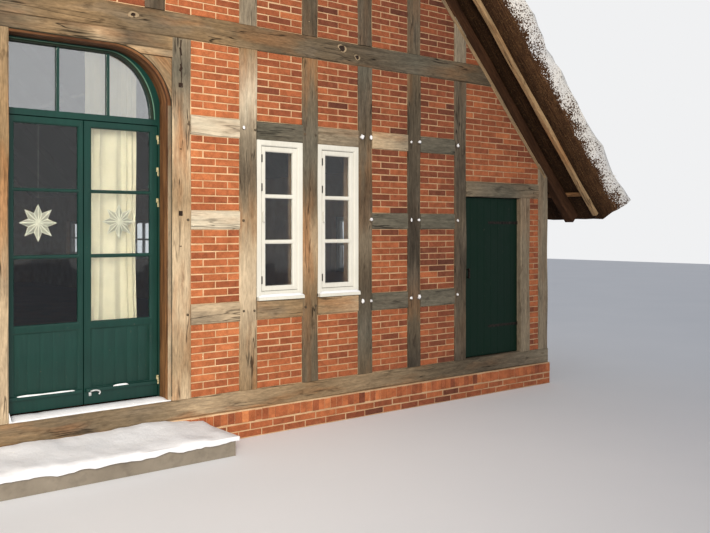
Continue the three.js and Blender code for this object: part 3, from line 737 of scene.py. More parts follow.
def rail(wall, low, high, left, right, weather, **more):
    middle = (low + high) / 2
    return layTimber(wall, (left, middle), (right, middle), high - low, weather, **more)


def buttedRail(wall, low, high, left, right, weather):
    return rail(wall, low, high, left + timberLook["butt"], right - timberLook["butt"], weather)


def cornerTimber(wall, side, foot):
    return post(wall, side * cornerPost["center"], foot, cornerPost["high"], "grey", cornerPost["width"], depth=deep)


def finishTimbers(name, parts, *replaced, underRoof=False):
    piece = joinAll(name, parts)
    if underRoof:
        cutUnderRafters(piece)
    return finish(piece, "oak", "oak", *replaced)


# pegs pin each rail to its posts, and snow has settled on the ones out in the open
pegLook = {"radius": 0.011, "proud": 0.013, "inset": 0.030, "fromPost": 0.055, "cap": (0.016, 0.018, 0.025),
           "capFrom": 3.4}
pegs = {"front": [], "rear": [], "right": [], "left": []}


def pegTemplate():
    peg = addShape(bpy.ops.mesh.primitive_cylinder_add, "peg", vertices=7, radius=pegLook["radius"], depth=0.04,
                   rotation=upright)
    insetFront(peg, (0.003, 0.003))
    points = readPoints(peg)
    points[:, 1] -= points[:, 1].min() + pegLook["proud"]
    writePoints(peg, points)
    return peg


def capTemplate():
    # a lump of snow, broader below
    cap = addShape(bpy.ops.mesh.primitive_ico_sphere_add, "cap", subdivisions=2, radius=1, scale=pegLook["cap"])
    points = readPoints(cap)
    points[:, :2] *= (1.15 - 9 * points[:, 2:]).clip(0.75, 1.35)
    writePoints(cap, points)
    return cap


def setPegs():
    # every place holds one peg, and some on the front carry a snow cap
    templates = {"oak": pegTemplate(), "snow": capTemplate()}
    for wall, places in pegs.items():
        made = {"oak": [], "snow": []}
        for x, z in places:
            peg = copyOf(templates["oak"], "peg")
            points = readPoints(peg) + np.array((x, 0, z)) + dice.normal(0, 0.003, 3) * (1, 0.6, 1)
            setOn(wall, peg, points)
            writeAttribute(peg, "grain", points[:, [1, 0, 2]] + dice.uniform(0, 30))
            writeAttribute(peg, "weather", np.tile(weathers["dark"], (len(points), 1)))
            made["oak"].append(peg)
            if wall == "front" and (abs(x) > pegLook["capFrom"] or dice.random() < 0.12):
                cap = copyOf(templates["snow"], "cap")
                size = dice.uniform(0.5, 1.25) if abs(x) > pegLook["capFrom"] else dice.uniform(0.4, 0.7)
                points = readPoints(cap)
                points *= size * dice.uniform(0.7, 1.3, 3) * dice.uniform(0.75, 1.2, (len(points), 1))
                setOn(wall, cap, points + (x + dice.normal(0, 0.005), -0.012, z + 0.022 * size))
                made["snow"].append(cap)
        for look, pieces in made.items():
            if pieces:
                finish(joinAll(f"{wall}Pegs_{look}", pieces), look, "oak", angle=60)
    for template in templates.values():
        bpy.data.objects.remove(template)


frontPosts = [2.160, 2.839, 3.512, 4.173, 4.862]
gablePosts = [0.610, 1.265]
halfPost = 0.089
gatePostSpan = (1.417, 1.589)
deep = 0.24  # the sole, the tie, the gate's centre post and the corner posts are as deep as the wall
cornerPost = {"center": 6.275, "high": 2.4, "width": 0.17, "inner": 6.19}
rows = {"sole": (0.0, 0.165), "low": (0.785, 0.955), "middle": (1.595, 1.755), "high": (2.400, 2.565),
        "tie": (3.200, 3.410), "door": (1.955, 2.120)}
postFoot, postHead = 0.1655, 3.199
bayStarts = [gatePostSpan[1]] + [center + halfPost for center in frontPosts[:-1]]

# the weathering of each post and rail of the gable, from the gate outward
postWeather = ["brown warmGrey tan tan warmGrey dark grey bleached brown",
               "umber umber brown golden umber slate umber brown",
               "umber slate dark grey dark umber dark slate", "black umber black black dark dark umber",
               "black dark black dark black dark dark"]
railWeather = {"low": ["tan", "warmGrey brown", "warmGrey tan", "slate", "slate"],
               "middle": ["bleached", None, None, "slate", "slate"],
               "high": ["bleached", "slate", "grey", "golden grey", "slate"]}
longWeather = {
    "sole": "grey dark umber warmGrey brown golden umber brown umber golden brown warmGrey umber dark grey",
    "tie": "umber brown umber brown umber umber dark slate umber dark", "center": "tan tan warmGrey brown warmGrey",
    "lintel": "brown umber dark tan umber brown umber dark umber brown umber tan dark umber brown",
    "gatePost": "tan warmGrey tan tan tan warmGrey tan tan slate grey",
}
# the plugs of a gate post (half size, height) and the notches in its head (shift, lean, low, high, width)
plugs = [(0.019, 2.805), (0.017, 1.728), (0.008, 2.275), (0.01, 1.454)]
notches = [(-0.014, 0.010, 2.80, 2.875, 0.006), (-0.004, -0.006, 2.87, 2.93, 0.016),
           (-0.012, 0.014, 2.92, 2.955, 0.028), (0.004, -0.010, 2.945, 2.985, 0.022),
           (-0.002, -0.010, 2.98, 3.06, 0.009), (-0.012, -0.008, 3.055, 3.12, 0.006),
           (-0.020, 0.004, 3.115, 3.185, 0.005)]

sole = layTimber("front", (-halfWidth, 0.083), (halfWidth, 0.083), 0.164, longWeather["sole"], depth=deep)
finishTimbers("frontSole", [sole], "front_sole")
parts = [layTimber("front", (0, 3.305), (side * (halfWidth - 0.93), 3.305), 0.21, longWeather["tie"], depth=deep)
         for side in (1, -1)]
parts += [post("front", side * frontPosts[-1], 3.41, 4.3, "grey") for side in (-1, 1)]
finishTimbers("tieBeam", parts, "front_tie_beam", underRoof=True)
finishTimbers("gateCenterPost", [post("front", 0, postFoot, 3.085, longWeather["center"], width=0.19, depth=deep)],
              "gate_center_post")
finishTimbers("gateLintel", [rail("front", 3.087, 3.198, -1.4165, 1.4165, longWeather["lintel"], depth=deep)],
              "gate_lintel")
for word, side in sides:
    middle = side * sum(gatePostSpan) / 2
    finishTimbers("gatePost_" + word, [post("front", middle, postFoot, postHead, longWeather["gatePost"], width=0.17)],
                  "gate_post_" + word)
    parts = [layTimber("front", (middle - 0.012 - half, height), (middle - 0.012 + half, height), 2.5 * half, "dark",
                       depth=0.02, face=-0.003) for half, height in plugs]
    parts += [layTimber("front", (middle + shift, low), (middle + shift + lean, high), width, "black", depth=0.02,
                        face=-0.0045) for shift, lean, low, high, width in notches]
    finish(joinAll("gatePlugs_" + word, parts), "char", "oak")
    parts = [post("front", side * center, postFoot, postHead, weather)
             for center, weather in zip(frontPosts, postWeather)]
    for row in ("low", "middle", "high"):
        for left, center, weather in zip(bayStarts, frontPosts, railWeather[row]):
            if weather:
                ends = sorted((side * (left + 0.001), side * (center - halfPost - 0.001)))
                parts.append(rail("front", *rows[row], *ends, weather))
                for place in (left - pegLook["inset"], center - halfPost + pegLook["inset"]):
                    pegs["front"].append((side * place, sum(rows[row]) / 2))
    finishTimbers("frontFrame_" + word, parts, "front_frame_" + word)
    parts = [post("front", side * 5.9495, postFoot, rows["door"][0], "grey", width=0.157),
             rail("front", *rows["door"], *sorted((side * 4.952, side * cornerPost["inner"])), "grey slate grey"),
             cornerTimber("front", side, postFoot)]
    finishTimbers("sideDoorFrame_" + word, parts, "side_door_frame_" + word, underRoof=True)

# knots of the tie beam (along, height, radius, share of the heart): a pale raised ring round a dark sunk heart
knots = [(1.066, 3.330, 0.034, 0.55), (3.215, 3.343, 0.042, 0.8), (3.403, 3.278, 0.030, 0.75),
         (-1.9, 3.29, 0.036, 0.6), (-3.3, 3.33, 0.03, 0.7)]
knotLook = {"stretch": (1.25, 1, 0.85), "back": 0.009, "weather": (0.22, 0.6, 0.1, 0.05)}
parts = []
for x, height, radius, heart in knots:
    knot = addShape(bpy.ops.mesh.primitive_cylinder_add, "knot", vertices=14, radius=radius, depth=0.03,
                    rotation=upright)
    insetFront(knot, (radius * (1 - heart), 0.001), (radius * 0.12, -0.006))
    points = readPoints(knot)
    turn = np.arctan2(points[:, 2], points[:, 0])
    points[:, [0, 2]] *= (1 + 0.16 * np.sin(turn * 2 + x) + 0.1 * np.sin(turn * 3 + 2 * x))[:, None]
    points = points * knotLook["stretch"] + (x, knotLook["back"], height)
    ring = np.hypot(points[:, 0] - x, points[:, 2] - height)
    writeAttribute(knot, "grain", stacked(turn * 0.05, ring * 2, points[:, 1]) + x)
    writeAttribute(knot, "weather", np.tile(knotLook["weather"], (len(points), 1)))
    setOn("front", knot, points)
    dress(knot, "oak")
    middle, reach = walls["front"] @ Vector((x, 0, height)), radius * heart * 0.95
    dressPart(knot, "char", lambda center: (center - middle).xz.length < reach and center.y < middle.y + 0.003)
    parts.append(knot)
hand(smooth(outward(joinAll("beamKnots", parts))), "house", "oak")
print("front timbers laid")


def slopeReach(height):
    return halfWidth - (height - eaves) / math.tan(pitch)


def between(centers, outer):
    # the clear spans between posts
    stops = [-outer] + [edge for c in centers for edge in (c - halfPost, c + halfPost)] + [outer]
    return list(zip(stops[::2], stops[1::2]))


def ranked(centers):
    return sorted([0.0] + [side * c for c in centers for side in (1, -1)])


def gablePost(wall, center, foot, weather):
    return post(wall, center, foot, min(apex - abs(center) * math.tan(pitch) + 0.1, apex), weather)


def buttRails(wall, levels, centers, weatherAt):
    # posts run through and the rails butt between them, with a peg on both sides of each post
    made = []
    for low, high in levels:
        reach = min(slopeReach(low) + 0.02, cornerPost["inner"])
        if reach < 0.3:
            continue
        inner = [c for c in centers if abs(c) < reach - 0.1]
        made += [buttedRail(wall, low, high, left, right, weatherAt(low)) for left, right in between(inner, reach)
                 if right - left > 0.05]
        for place in inner:
            pegs[wall] += [(place + shift, (low + high) / 2) for shift in (-pegLook["fromPost"], pegLook["fromPost"])]
    return made


# the upper gable, with a thin fillet that closes the brickwork under each rafter
fillet = {"width": 0.042, "weather": "warmGrey", "depth": 0.03, "face": -0.006}
gableCenters = ranked(gablePosts + frontPosts[:-1])
gableRows = [(3.41 + 0.8 * k, 3.57 + 0.8 * k) for k in range(1, 7)]
parts = [gablePost("front", c, 3.411, "dark" if abs(c) > 2.5 or k % 3 else "grey") for k, c in enumerate(gableCenters)]
parts += buttRails("front", gableRows, gableCenters, lambda low: "dark" if low > 5 else "grey")
parts = [cutUnderRafters(part) for part in parts]
for side in (-1, 1):
    foot, top = (side * (halfWidth - 0.05), eaves + 0.0065), (side * 0.05, apex - 0.1005)
    parts.append(layTimber("front", foot, top, **fillet))
finishTimbers("gableFrame", parts, "gable_frame")

# the rear gable, with every second post and rail
rearPosts = [1.503, 2.839, 4.173, 5.3]
rearCenters = ranked(rearPosts)
rearRows = [rows[key] for key in ("sole", "low", "middle", "high", "tie")]
rearRows += [(3.41 + 1.6 * k, 3.57 + 1.6 * k) for k in (1, 2, 3)]
parts = [gablePost("rear", c, 0.166, "grey") for c in rearCenters]
parts += [cornerTimber("rear", side, 0.0) for side in (1, -1)]
parts.append(rail("rear", 0.001, rows["sole"][1], -cornerPost["inner"], cornerPost["inner"], "warmGrey"))
parts += buttRails("rear", rearRows[1:], rearCenters, lambda low: "grey")
finishTimbers("rearFrame", parts, "rear_frame", underRoof=True)

# the long sides: a post every 1.24 m, a low rail, the plate under the rafters and heads over the windows
sideBays, windowBays = 14, (2, 5, 8, 11)
sideHalf = halfLength - 0.24 - 0.0003
sidePost = 0.17
bayLength = (2 * sideHalf - sidePost) / sideBays
sideRows = {"sole": (0.001, 0.165), "low": (0.785, 0.935), "plate": (2.043, 2.19), "head": (1.78, 1.9)}


def bayOpening(bay):
    start = -sideHalf + sidePost + bay * bayLength
    return start, start + bayLength - sidePost


for word, side in sides:
    parts = [post(word, bayOpening(bay)[0] - sidePost / 2, 0.166, 2.042, "grey", width=sidePost)
             for bay in range(sideBays + 1)]
    parts.append(rail(word, *sideRows["sole"], -sideHalf, sideHalf, "warmGrey"))
    parts.append(rail(word, *sideRows["plate"], -sideHalf, sideHalf, "grey"))
    for bay in range(sideBays):
        left, right = bayOpening(bay)
        parts.append(buttedRail(word, *sideRows["low"], left, right, "grey"))
        pegs[word] += [(left - pegLook["inset"], 0.86), (right + pegLook["inset"], 0.86)]
        if bay in windowBays:
            parts.append(buttedRail(word, *sideRows["head"], left, right, "grey"))
    finishTimbers("sideFrame_" + word, parts, "side_frame_" + word)

# the roof frame: rafters down the slope, battens along it and a batten at each verge
roofLook = {"foot": (halfWidth + 0.49) / math.cos(pitch), "head": -0.16, "bays": 10, "rafterSpan": 17.88,
            "rafter": {"width": 0.12, "weather": "dark", "depth": 0.14}, "battenRows": 4, "firstBatten": 0.35,
            "battenEnd": 9.27, "batten": {"width": 0.06, "weather": "brown", "depth": 0.029, "face": 0.14},
            # the verge batten's warm, unbleached tan is partly painted sunlight
            "vergeAt": 9.2525, "verge": {"width": 0.065, "weather": "strawAndSunlight", "depth": 0.05, "face": 0.115}}
for word, side in sides:
    wall, foot, head = "roof_" + word, roofLook["foot"], roofLook["head"]
    rafters, battens = [], []
    for bay in range(roofLook["bays"] + 1):
        y = -8.94 + roofLook["rafterSpan"] * bay / roofLook["bays"]
        rafters.append(layTimber(wall, (y, head), (y, foot), **roofLook["rafter"]))
    for row in range(roofLook["battenRows"]):
        down = roofLook["firstBatten"] + (foot - 0.7) * row / (roofLook["battenRows"] - 1) + 0.03
        end = roofLook["battenEnd"]
        battens.append(layTimber(wall, (-end, down), (end, down), **roofLook["batten"]))
    for y in (-roofLook["vergeAt"], roofLook["vergeAt"]):
        battens.append(layTimber(wall, (y, head), (y, foot), **roofLook["verge"]))
    # the rafters are dressed in painted shade
    parts = [dress(joinAll("rafters", rafters), "rafterShade"), dress(joinAll("battens", battens), "oak")]
    piece = joinAll("roofFrame_" + word, parts)
    hand(smooth(sliceOff(piece, (0, 0, 0), (-side, 0, 0))), "house", "oak", "roof_frame_" + word)
setPegs()
print("all timbers laid")

# every field between the timbers is a panel of running bond
brickLook = {"length": 0.24, "course": 0.0635, "joint": 0.011, "depth": 0.05, "face": 0.008, "edge": 0.003,
             "corners": 12, "tone": 0.66, "variety": 0.11, "tilt": 0.006, "skew": 0.008,
             "shift": (0.0012, 0.0014, 0.0008)}
panelShapes = {}


def addBrick(name, length):
    joint = brickLook["joint"] / 2
    brick = addBlock(name, (joint, 0, joint), (length - joint, brickLook["depth"], brickLook["course"] - joint))
    return bevelWhere(brick, lambda edge: all(v.co.y < 0.001 for v in edge.verts), brickLook["edge"])


def stackBricks(length, start, course, columns, courses):
    # a field of one brick shape: columns side by side, and every second course
    if columns < 1 or courses < 1:
        return []
    field = addBrick("field", length)
    writePoints(field, readPoints(field) + (start, 0, course * brickLook["course"]))
    if columns > 1:
        repeated(field, columns, (length, 0, 0))
    if courses > 1:
        repeated(field, courses, (0, 0, 2 * brickLook["course"]))
    return [field]


def panelShape(columns, courses):
    # one panel of running bond, modelled once for each count of columns and courses
    if (columns, courses) not in panelShapes:
        whole, half = brickLook["length"], brickLook["length"] / 2
        even, odd = (courses + 1) // 2, courses // 2
        parts = stackBricks(whole, 0, 0, columns, even) + stackBricks(whole, half, 1, columns - 1, odd)
        parts += stackBricks(half, 0, 1, 1, odd) + stackBricks(half, columns * whole - half, 1, 1, odd)
        panelShapes[(columns, courses)] = joinAll(f"panel_{columns}_{courses}", parts)
    return panelShapes[(columns, courses)]


def layBricks(wall, left, right, low, high):
    # a panel stretched to its field, each brick a little out of line and with its own tone
    width, height = right - left, high - low
    columns = max(1, round(width / brickLook["length"]))
    courses = max(1, round(height / brickLook["course"]))
    piece = copyOf(panelShape(columns, courses), "bricks")
    points = readPoints(piece)
    points[:, 0] *= width / (columns * brickLook["length"])
    points[:, 2] *= height / (courses * brickLook["course"])
    bricks = points.reshape(-1, brickLook["corners"], 3)
    each = (len(bricks), 1)
    middle = bricks.mean(1, keepdims=True)
    away = (bricks - middle)[:, :, 0]
    shiftX, shiftY, shiftZ = brickLook["shift"]
    bricks[:, :, 2] += away * dice.normal(0, brickLook["tilt"], each)
    bricks[:, :, 0] += dice.normal(0, shiftX, each)
    bricks[:, :, 1] += dice.normal(0, shiftY, each) + brickLook["face"] + away * dice.normal(0, brickLook["skew"], each)
    bricks[:, :, 2] += dice.normal(0, shiftZ, each)
    tone = dice.normal(brickLook["tone"], brickLook["variety"], len(bricks))
    if wall == "front":  # painted shade: the gable darkens away from the gate and higher up
        reach = np.abs(middle[:, 0, 0] + left)
        tone -= np.where(reach < 4.95, 0.12 * np.clip(reach - 1.9, 0, 3), 0.1)
        tone -= 0.08 * np.clip(middle[:, 0, 2] + low - 1.4, 0, 1.6) * np.clip((reach - 1.9) / 0.4, 0, 1)
    tone[dice.random(len(bricks)) < 0.04] -= 0.25
    setOn(wall, piece, bricks.reshape(-1, 3) + (left, 0, low))
    writeAttribute(piece, "brickTone", np.repeat(np.clip(tone, 0, 1), brickLook["corners"]))
    return piece


def handBricks(name, parts, *bedded):
    # joins the bricks, and the CAD walls behind them show as mortar
    piece = dress(joinAll(name, parts), "brick")
    for cad in bedded:
        dress(nodes[cad], "mortar")
    return hand(piece, "house", "brick")


def fillPanels(name, wall, panels, *bedded):
    # panels wholly above the rafters are left out, and those that the rafters cross are cut along the slope
    whole, crossing = [], []
    lowWall = wall in ("right", "left")
    for left, right, low, high in panels:
        nearest = min(abs(left), abs(right)) if left * right > 0 else 0.0
        if lowWall or slopeReach(low) - 0.03 > nearest:
            clear = lowWall or slopeReach(high) >= max(abs(left), abs(right)) + 0.03
            (whole if clear else crossing).append(layBricks(wall, left, right, low, high))
    if crossing:
        whole.append(cutUnderRafters(joinAll(name + "Edge", crossing), 0.012))
    return handBricks(name, whole, *bedded)


def gridPanels(centers, levels, outer):
    return [(*span, *level) for span in between(centers, outer) for level in levels]


storeys = [("sole", "low"), ("low", "middle"), ("middle", "high"), ("high", "tie")]
glazed = {"bays": (1, 2), "storeys": ("low", "middle")}
for word, side in sides:
    panels = [(left, center - halfPost, rows[below][1], rows[above][0])
              for bay, (left, center) in enumerate(zip(bayStarts, frontPosts)) for below, above in storeys
              if not (bay in glazed["bays"] and below in glazed["storeys"])]
    panels.append((4.951, cornerPost["inner"], rows["door"][1], rows["tie"][0]))
    panels.append((6.028, cornerPost["inner"], rows["sole"][1], rows["door"][0]))
    panels = [(*sorted((side * a, side * b)), low, high) for a, b, low, high in panels]
    fillPanels("frontBricks_" + word, "front", panels, "front_wall_" + word, "corner_wall_" + word)

gableLevels = [(3.41, 4.21)] + [(low + 0.16, low + 0.8) for low, high in gableRows]
centers = sorted(gableCenters + [frontPosts[-1], -frontPosts[-1]])
fillPanels("gableBricks", "front", gridPanels(centers, gableLevels, 5.4), "gable_wall")
rearLevels = [(a[1], b[0]) for a, b in zip(rearRows[:-1], rearRows[1:])] + [(rearRows[-1][1], apex)]
fillPanels("rearBricks", "rear", gridPanels(rearCenters, rearLevels, cornerPost["inner"]), "rear_wall")
for word, side in sides:
    panels = []
    for bay in range(sideBays):
        opening = bayOpening(bay)
        upper = sideRows["head"][1] if bay in windowBays else sideRows["low"][1]
        panels += [(*opening, sideRows["sole"][1], sideRows["low"][0]), (*opening, upper, sideRows["plate"][0])]
    fillPanels("sideBricks_" + word, word, panels, "side_wall_" + word)

# the plinth: a course of bricks on edge over two laid flat, around the whole house
plinthLook = {"proud": 0.027, "edgeLength": 0.0705, "gap": 0.002, "tone": 0.6, "variety": 1.3 * brickLook["variety"],
              "reach": {"front": halfWidth + 0.015, "rear": halfWidth + 0.015, "right": halfLength - 0.04,
                        "left": halfLength - 0.04}}


def layPlinth(wall, reach):
    bottom, top = -base + plinthLook["gap"], -plinthLook["gap"]
    low = bottom + 2 * brickLook["course"]
    laidFlat = layBricks(wall, -reach, reach, bottom, low)
    count = round(2 * reach / plinthLook["edgeLength"])
    onEdge = copyOf(panelShape(1, 1), "onEdge")
    points = readPoints(onEdge)
    points[:, 0] = points[:, 0] / brickLook["length"] * plinthLook["edgeLength"]
    points[:, 2] = points[:, 2] / brickLook["course"] * (top - low) + low
    writePoints(onEdge, points + (-reach, brickLook["face"], 0))
    repeated(onEdge, count, (2 * reach / count, 0, 0))
    bricks = readPoints(onEdge).reshape(count, -1, 3)
    bricks[:, :, 1] += dice.normal(0, 0.002, (count, 1))
    tone = np.clip(dice.normal(plinthLook["tone"], plinthLook["variety"], count), 0, 1)
    setOn(wall, onEdge, bricks.reshape(-1, 3))
    writeAttribute(onEdge, "brickTone", np.repeat(tone, brickLook["corners"]))
    inward = np.array(walls[wall])[:3, 1]
    for piece in (laidFlat, onEdge):
        writePoints(piece, readPoints(piece) - inward * plinthLook["proud"])
    return [laidFlat, onEdge]


handBricks("plinthBricks", [part for wall, reach in plinthLook["reach"].items() for part in layPlinth(wall, reach)],
           "brick_plinth")
for template in panelShapes.values():
    bpy.data.objects.remove(template)
print("bricks laid")


def framedPlate(name, xLines, zLines, panes=(), sunk=(), boards=1, thickness=0.045, mould=(0.011, 0.012),
                sink=(0.012, 0.014), boardGap=0.0035):
    # a joined plate in XZ, its middle on Y = 0. Open cells go through, sunk cells hold upright boards
    piece = addShape(bpy.ops.mesh.primitive_plane_add, name, size=1, rotation=upright)
    piece.scale = (xLines[-1] - xLines[0], 1, zLines[-1] - zLines[0])
    piece.location = ((xLines[0] + xLines[-1]) / 2, -thickness / 2, (zLines[0] + zLines[-1]) / 2)
    applyPlace(piece)
    cutAt(piece, xLines[1:-1], 0)
    cutAt(piece, zLines[1:-1], 2)

    def within(cells):
        def test(face):
            center = face.calc_center_median()
            return any(x0 < center.x < x1 and z0 < center.z < z1 for x0, x1, z0, z1 in cells)
        return test

    if sunk:
        pick(piece, within(sunk))
        if sink[1]:
            bpy.ops.mesh.inset(thickness=sink[0], depth=-sink[1], use_individual=True)
        edge = sink[0] if sink[1] else 0
        inner = [(x0 + edge, x1 - edge, z0 + edge, z1 - edge) for x0, x1, z0, z1 in sunk]
        for x0, x1, z0, z1 in inner:
            for k in range(1, boards):
                pick(piece, within([(x0, x1, z0, z1)]))
                bpy.ops.mesh.bisect(plane_co=(x0 + (x1 - x0) * k / boards, 0, 0), plane_no=(1, 0, 0))
        pick(piece, within(inner))
        bpy.ops.mesh.inset(thickness=boardGap, depth=boardGap, use_individual=True)
    if panes:
        pick(piece, within(panes))
        bpy.ops.mesh.inset(thickness=mould[0], depth=-mould[1], use_individual=True)
        bpy.ops.mesh.delete(type="FACE")
    pick(piece, lambda edge: len(edge.link_faces) == 1, "EDGE")
    bpy.ops.mesh.extrude_region_move(TRANSFORM_OT_translate={"value": (0, thickness / 2, 0)})
    bpy.ops.transform.resize(value=(1, 0, 1), center_override=(0, 0, 0))
    leaveEdit()
    applyModifier(piece, "MIRROR", use_axis=(False, True, False), use_clip=True, merge_threshold=0.0004)
    return outward(piece)


def setBack(piece, y):
    piece.location = (0, y, 0)
    return applyPlace(piece)


def addRod(name, radius, low, high, corners=10):
    # an upright rod with rounded ends
    rod = addShape(bpy.ops.mesh.primitive_cylinder_add, name, vertices=corners, radius=radius,
                   depth=high[2] - low[2], location=[(a + b) / 2 for a, b in zip(low, high)])
    return smooth(roundEdges(rod, radius * 0.3, 1, 60), 50)


def addTube(name, route, radius, bent=False):
    # a round bar through the points of its route, straight or bent smoothly between them
    curve = bpy.data.curves.new(name, "CURVE")
    curve.dimensions = "3D"
    curve.bevel_depth = radius
    curve.bevel_resolution = 2
    curve.use_fill_caps = True
    spline = curve.splines.new("BEZIER" if bent else "POLY")
    points = spline.bezier_points if bent else spline.points
    points.add(len(route) - 1)
    for point, place in zip(points, route):
        point.co = place if bent else (*place, 1)
        if bent:
            point.handle_left_type = point.handle_right_type = "AUTO"
    piece = bpy.data.objects.new(name, curve)
    bpy.context.scene.collection.objects.link(piece)
    makeActive(piece)
    bpy.ops.object.convert(target="MESH")
    return named(name)


def bareCopy(cad, name):
    # a CAD node's own shape, merged and without its tags
    piece = copyOf(nodes[cad], name)
    piece.parent = None
    for key in list(piece.keys()):
        del piece[key]
    return outward(piece)


def eased(piece, width, segments=2):
    # flat faces made whole, and their edges rounded
    applyModifier(piece, "DECIMATE", decimate_type="DISSOLVE", angle_limit=math.radians(1))
    return roundEdges(piece, width, segments)


gate = {"face": -8.84, "thick": 0.045, "bottom": base + 0.198, "top": base + 2.463, "stile": 0.064, "meeting": 0.040,
        "panes": [(0.860, 1.367), (1.397, 1.887), (1.914, 2.409)], "panel": (0.330, 0.793), "boards": 5,
        "mould": (0.011, 0.012), "leaves": [(0.1193, 0.716), (0.724, 1.3557)], "axes": [0.1163, 1.3587],
        "axisY": -8.848,
        "hinges": [0.330, 1.820, 2.080, 2.350], "hingeLength": 0.036, "hingeRadius": 0.0055, "hingeReach": 0.013,
        "ledge": (0.296, 0.326), "ledgeProud": 0.020, "ledgeInset": 0.012, "ledgeRound": 0.014, "archStart": 0.9,
        "spring": base + 2.566}
hingePlay = 0.0002
leafBodies = ("gate_inner_leaf", "gate_outer_leaf")


def hingeHalf(x, y, low, high, reach, depth):
    # one half's knuckles with the plate that holds them
    rod = addRod("hinge", gate["hingeRadius"], (x, y, low), (x, y, high))
    plate = addBlock("hingePlate", (min(x, x + reach), y, low), (max(x, x + reach), y + depth, high))
    return joinAll("hinge", [rod, roundEdges(plate, 0.001, 1)])


def makeLeaf(name, span, axis, side):
    x0, x1 = span
    mould = gate["mould"][0]
    left = x0 + gate["stile"] - mould
    right = x1 - (gate["meeting"] if x0 < 0.5 else gate["stile"]) + mould
    levels = [(base + low - mould, base + high + mould) for low, high in (gate["panel"], *gate["panes"])]
    zLines = [gate["bottom"], *(height for level in levels for height in level), gate["top"]]
    cells = [(left, right, *level) for level in levels]
    leaf = framedPlate(name, [x0, left, right, x1], zLines, cells[1:], cells[:1], gate["boards"], gate["thick"],
                       gate["mould"])
    setBack(softened(leaf), gate["face"] + gate["thick"] / 2)
    proud, inset, (foot, top) = gate["ledgeProud"], gate["ledgeInset"], gate["ledge"]
    ledge = addBlock("ledge", (x0 + inset, gate["face"] - proud, base + foot),
                     (x1 - inset, gate["face"] + 0.004, base + top))
    outer, upper = gate["face"] - proud / 2, base + (foot + top) / 2
    bevelWhere(ledge, lambda edge: all(v.co.y < outer and v.co.z > upper for v in edge.verts), gate["ledgeRound"], 3)
    parts = [dress(part, "gatePaint") for part in (leaf, ledge)]
    reach = gate["hingeReach"] if axis < x0 else -gate["hingeReach"]
    for height in gate["hinges"]:
        low = base + height + hingePlay
        parts.append(dress(hingeHalf(axis, gate["axisY"], low, low + gate["hingeLength"], reach, 0.0082), "brass"))
    return onSide(smooth(joinAll(name, parts)), side)


for word, side in sides:
    for k, body in enumerate(leafBodies):
        leaf = makeLeaf(f"gateLeaf_{k + 1}_{word}", gate["leaves"][k], gate["axes"][k], side)
        hand(leaf, body if side > 0 else "house", "gate_paint", f"gate_leaf_{k + 1}_{word}")

# a bolt with a curled steel handle on the right leaf's meeting stile
bolt = {"x": 0.818, "z": base + 0.292, "radius": 0.0068,
        "route": [(-0.045, 0.0, 0.0), (-0.04, -0.03, 0.014), (0.0, -0.038, 0.015), (0.024, -0.034, 0.0),
                  (0.018, -0.029, -0.018)]}
handle = addTube("boltHandle", [(bolt["x"] + x, gate["face"] + y, bolt["z"] + z) for x, y, z in bolt["route"]],
                 bolt["radius"], bent=True)
plate = blockAt("boltPlate", (bolt["x"], gate["face"], bolt["z"]), (-0.056, -0.003, -0.03), (-0.034, 0.001, 0.03))
handle = smooth(joinAll("boltHandle", [handle, roundEdges(plate, 0.0012, 1)]), 60)
hand(dress(outward(handle), "steel"), "gate_outer_leaf", "gate_paint")


# the brace below the head board is given darker weathering than the board: painted shade of its recess
braceLook = {"split": base + 3.030, "back": 0.012, "gap": 0.004, "round": 0.004,
             "weather": {True: (0.1, 0.65, 0.3, 0.05), False: (0.2, 0.85, 0.16, 0.0)}}


def makeBrace(word):
    # the head of the brace is a board along the lintel; the brace itself stands a little behind it
    parts = []
    for below in (True, False):
        piece = bareCopy("gate_brace_" + word, "gateBrace_" + word)
        sliceOff(piece, (0, 0, braceLook["split"] - braceLook["gap"] * below), (0, 0, 1), inner=not below)
        if below:
            points = readPoints(piece)
            points[points[:, 1] < points[:, 1].min() + 0.004, 1] += braceLook["back"]
            writePoints(piece, points)
        eased(piece, braceLook["round"])
        x, y, z = readPoints(piece).T
        across, along = (np.abs(x) + z) / math.sqrt(2), (np.abs(x) - z) / math.sqrt(2)
        writeAttribute(piece, "grain", stacked(along, across, y) if below else stacked(x, z, y) + 9)
        writeAttribute(piece, "weather", np.tile(braceLook["weather"][below], (len(x), 1)))
        parts.append(dress(smooth(piece, 30), "oak"))
    return joinAll("gateBrace_" + word, parts)


def archGrain(piece):
    # grain that climbs the straight jamb and follows the arch round
    x, y, z = readPoints(piece).T
    ax, az = np.abs(x) - gate["archStart"], z - gate["spring"]
    above = (az > 0) & (ax > -0.02)
    flat = (az > 0) & (ax <= -0.02)
    angle = np.arctan2(az, np.maximum(ax, 1e-4))
    along = np.where(above, 0.45 * angle, np.where(flat, 0.45 * math.pi / 2 - ax, az))
    across = np.where(above, np.hypot(np.maximum(ax, 0), az), np.where(flat, az, ax))
    writeAttribute(piece, "grain", stacked(along, across, y) + 5)
    weather = np.tile(weathers["tan"], (len(x), 1))
    # the third share paints shade on the lining: strong under the arch and along its head, slight on the jamb
    weather[:, 2] = np.where(above | flat, 0.78, 0.12)
    writeAttribute(piece, "weather", weather)
    return piece


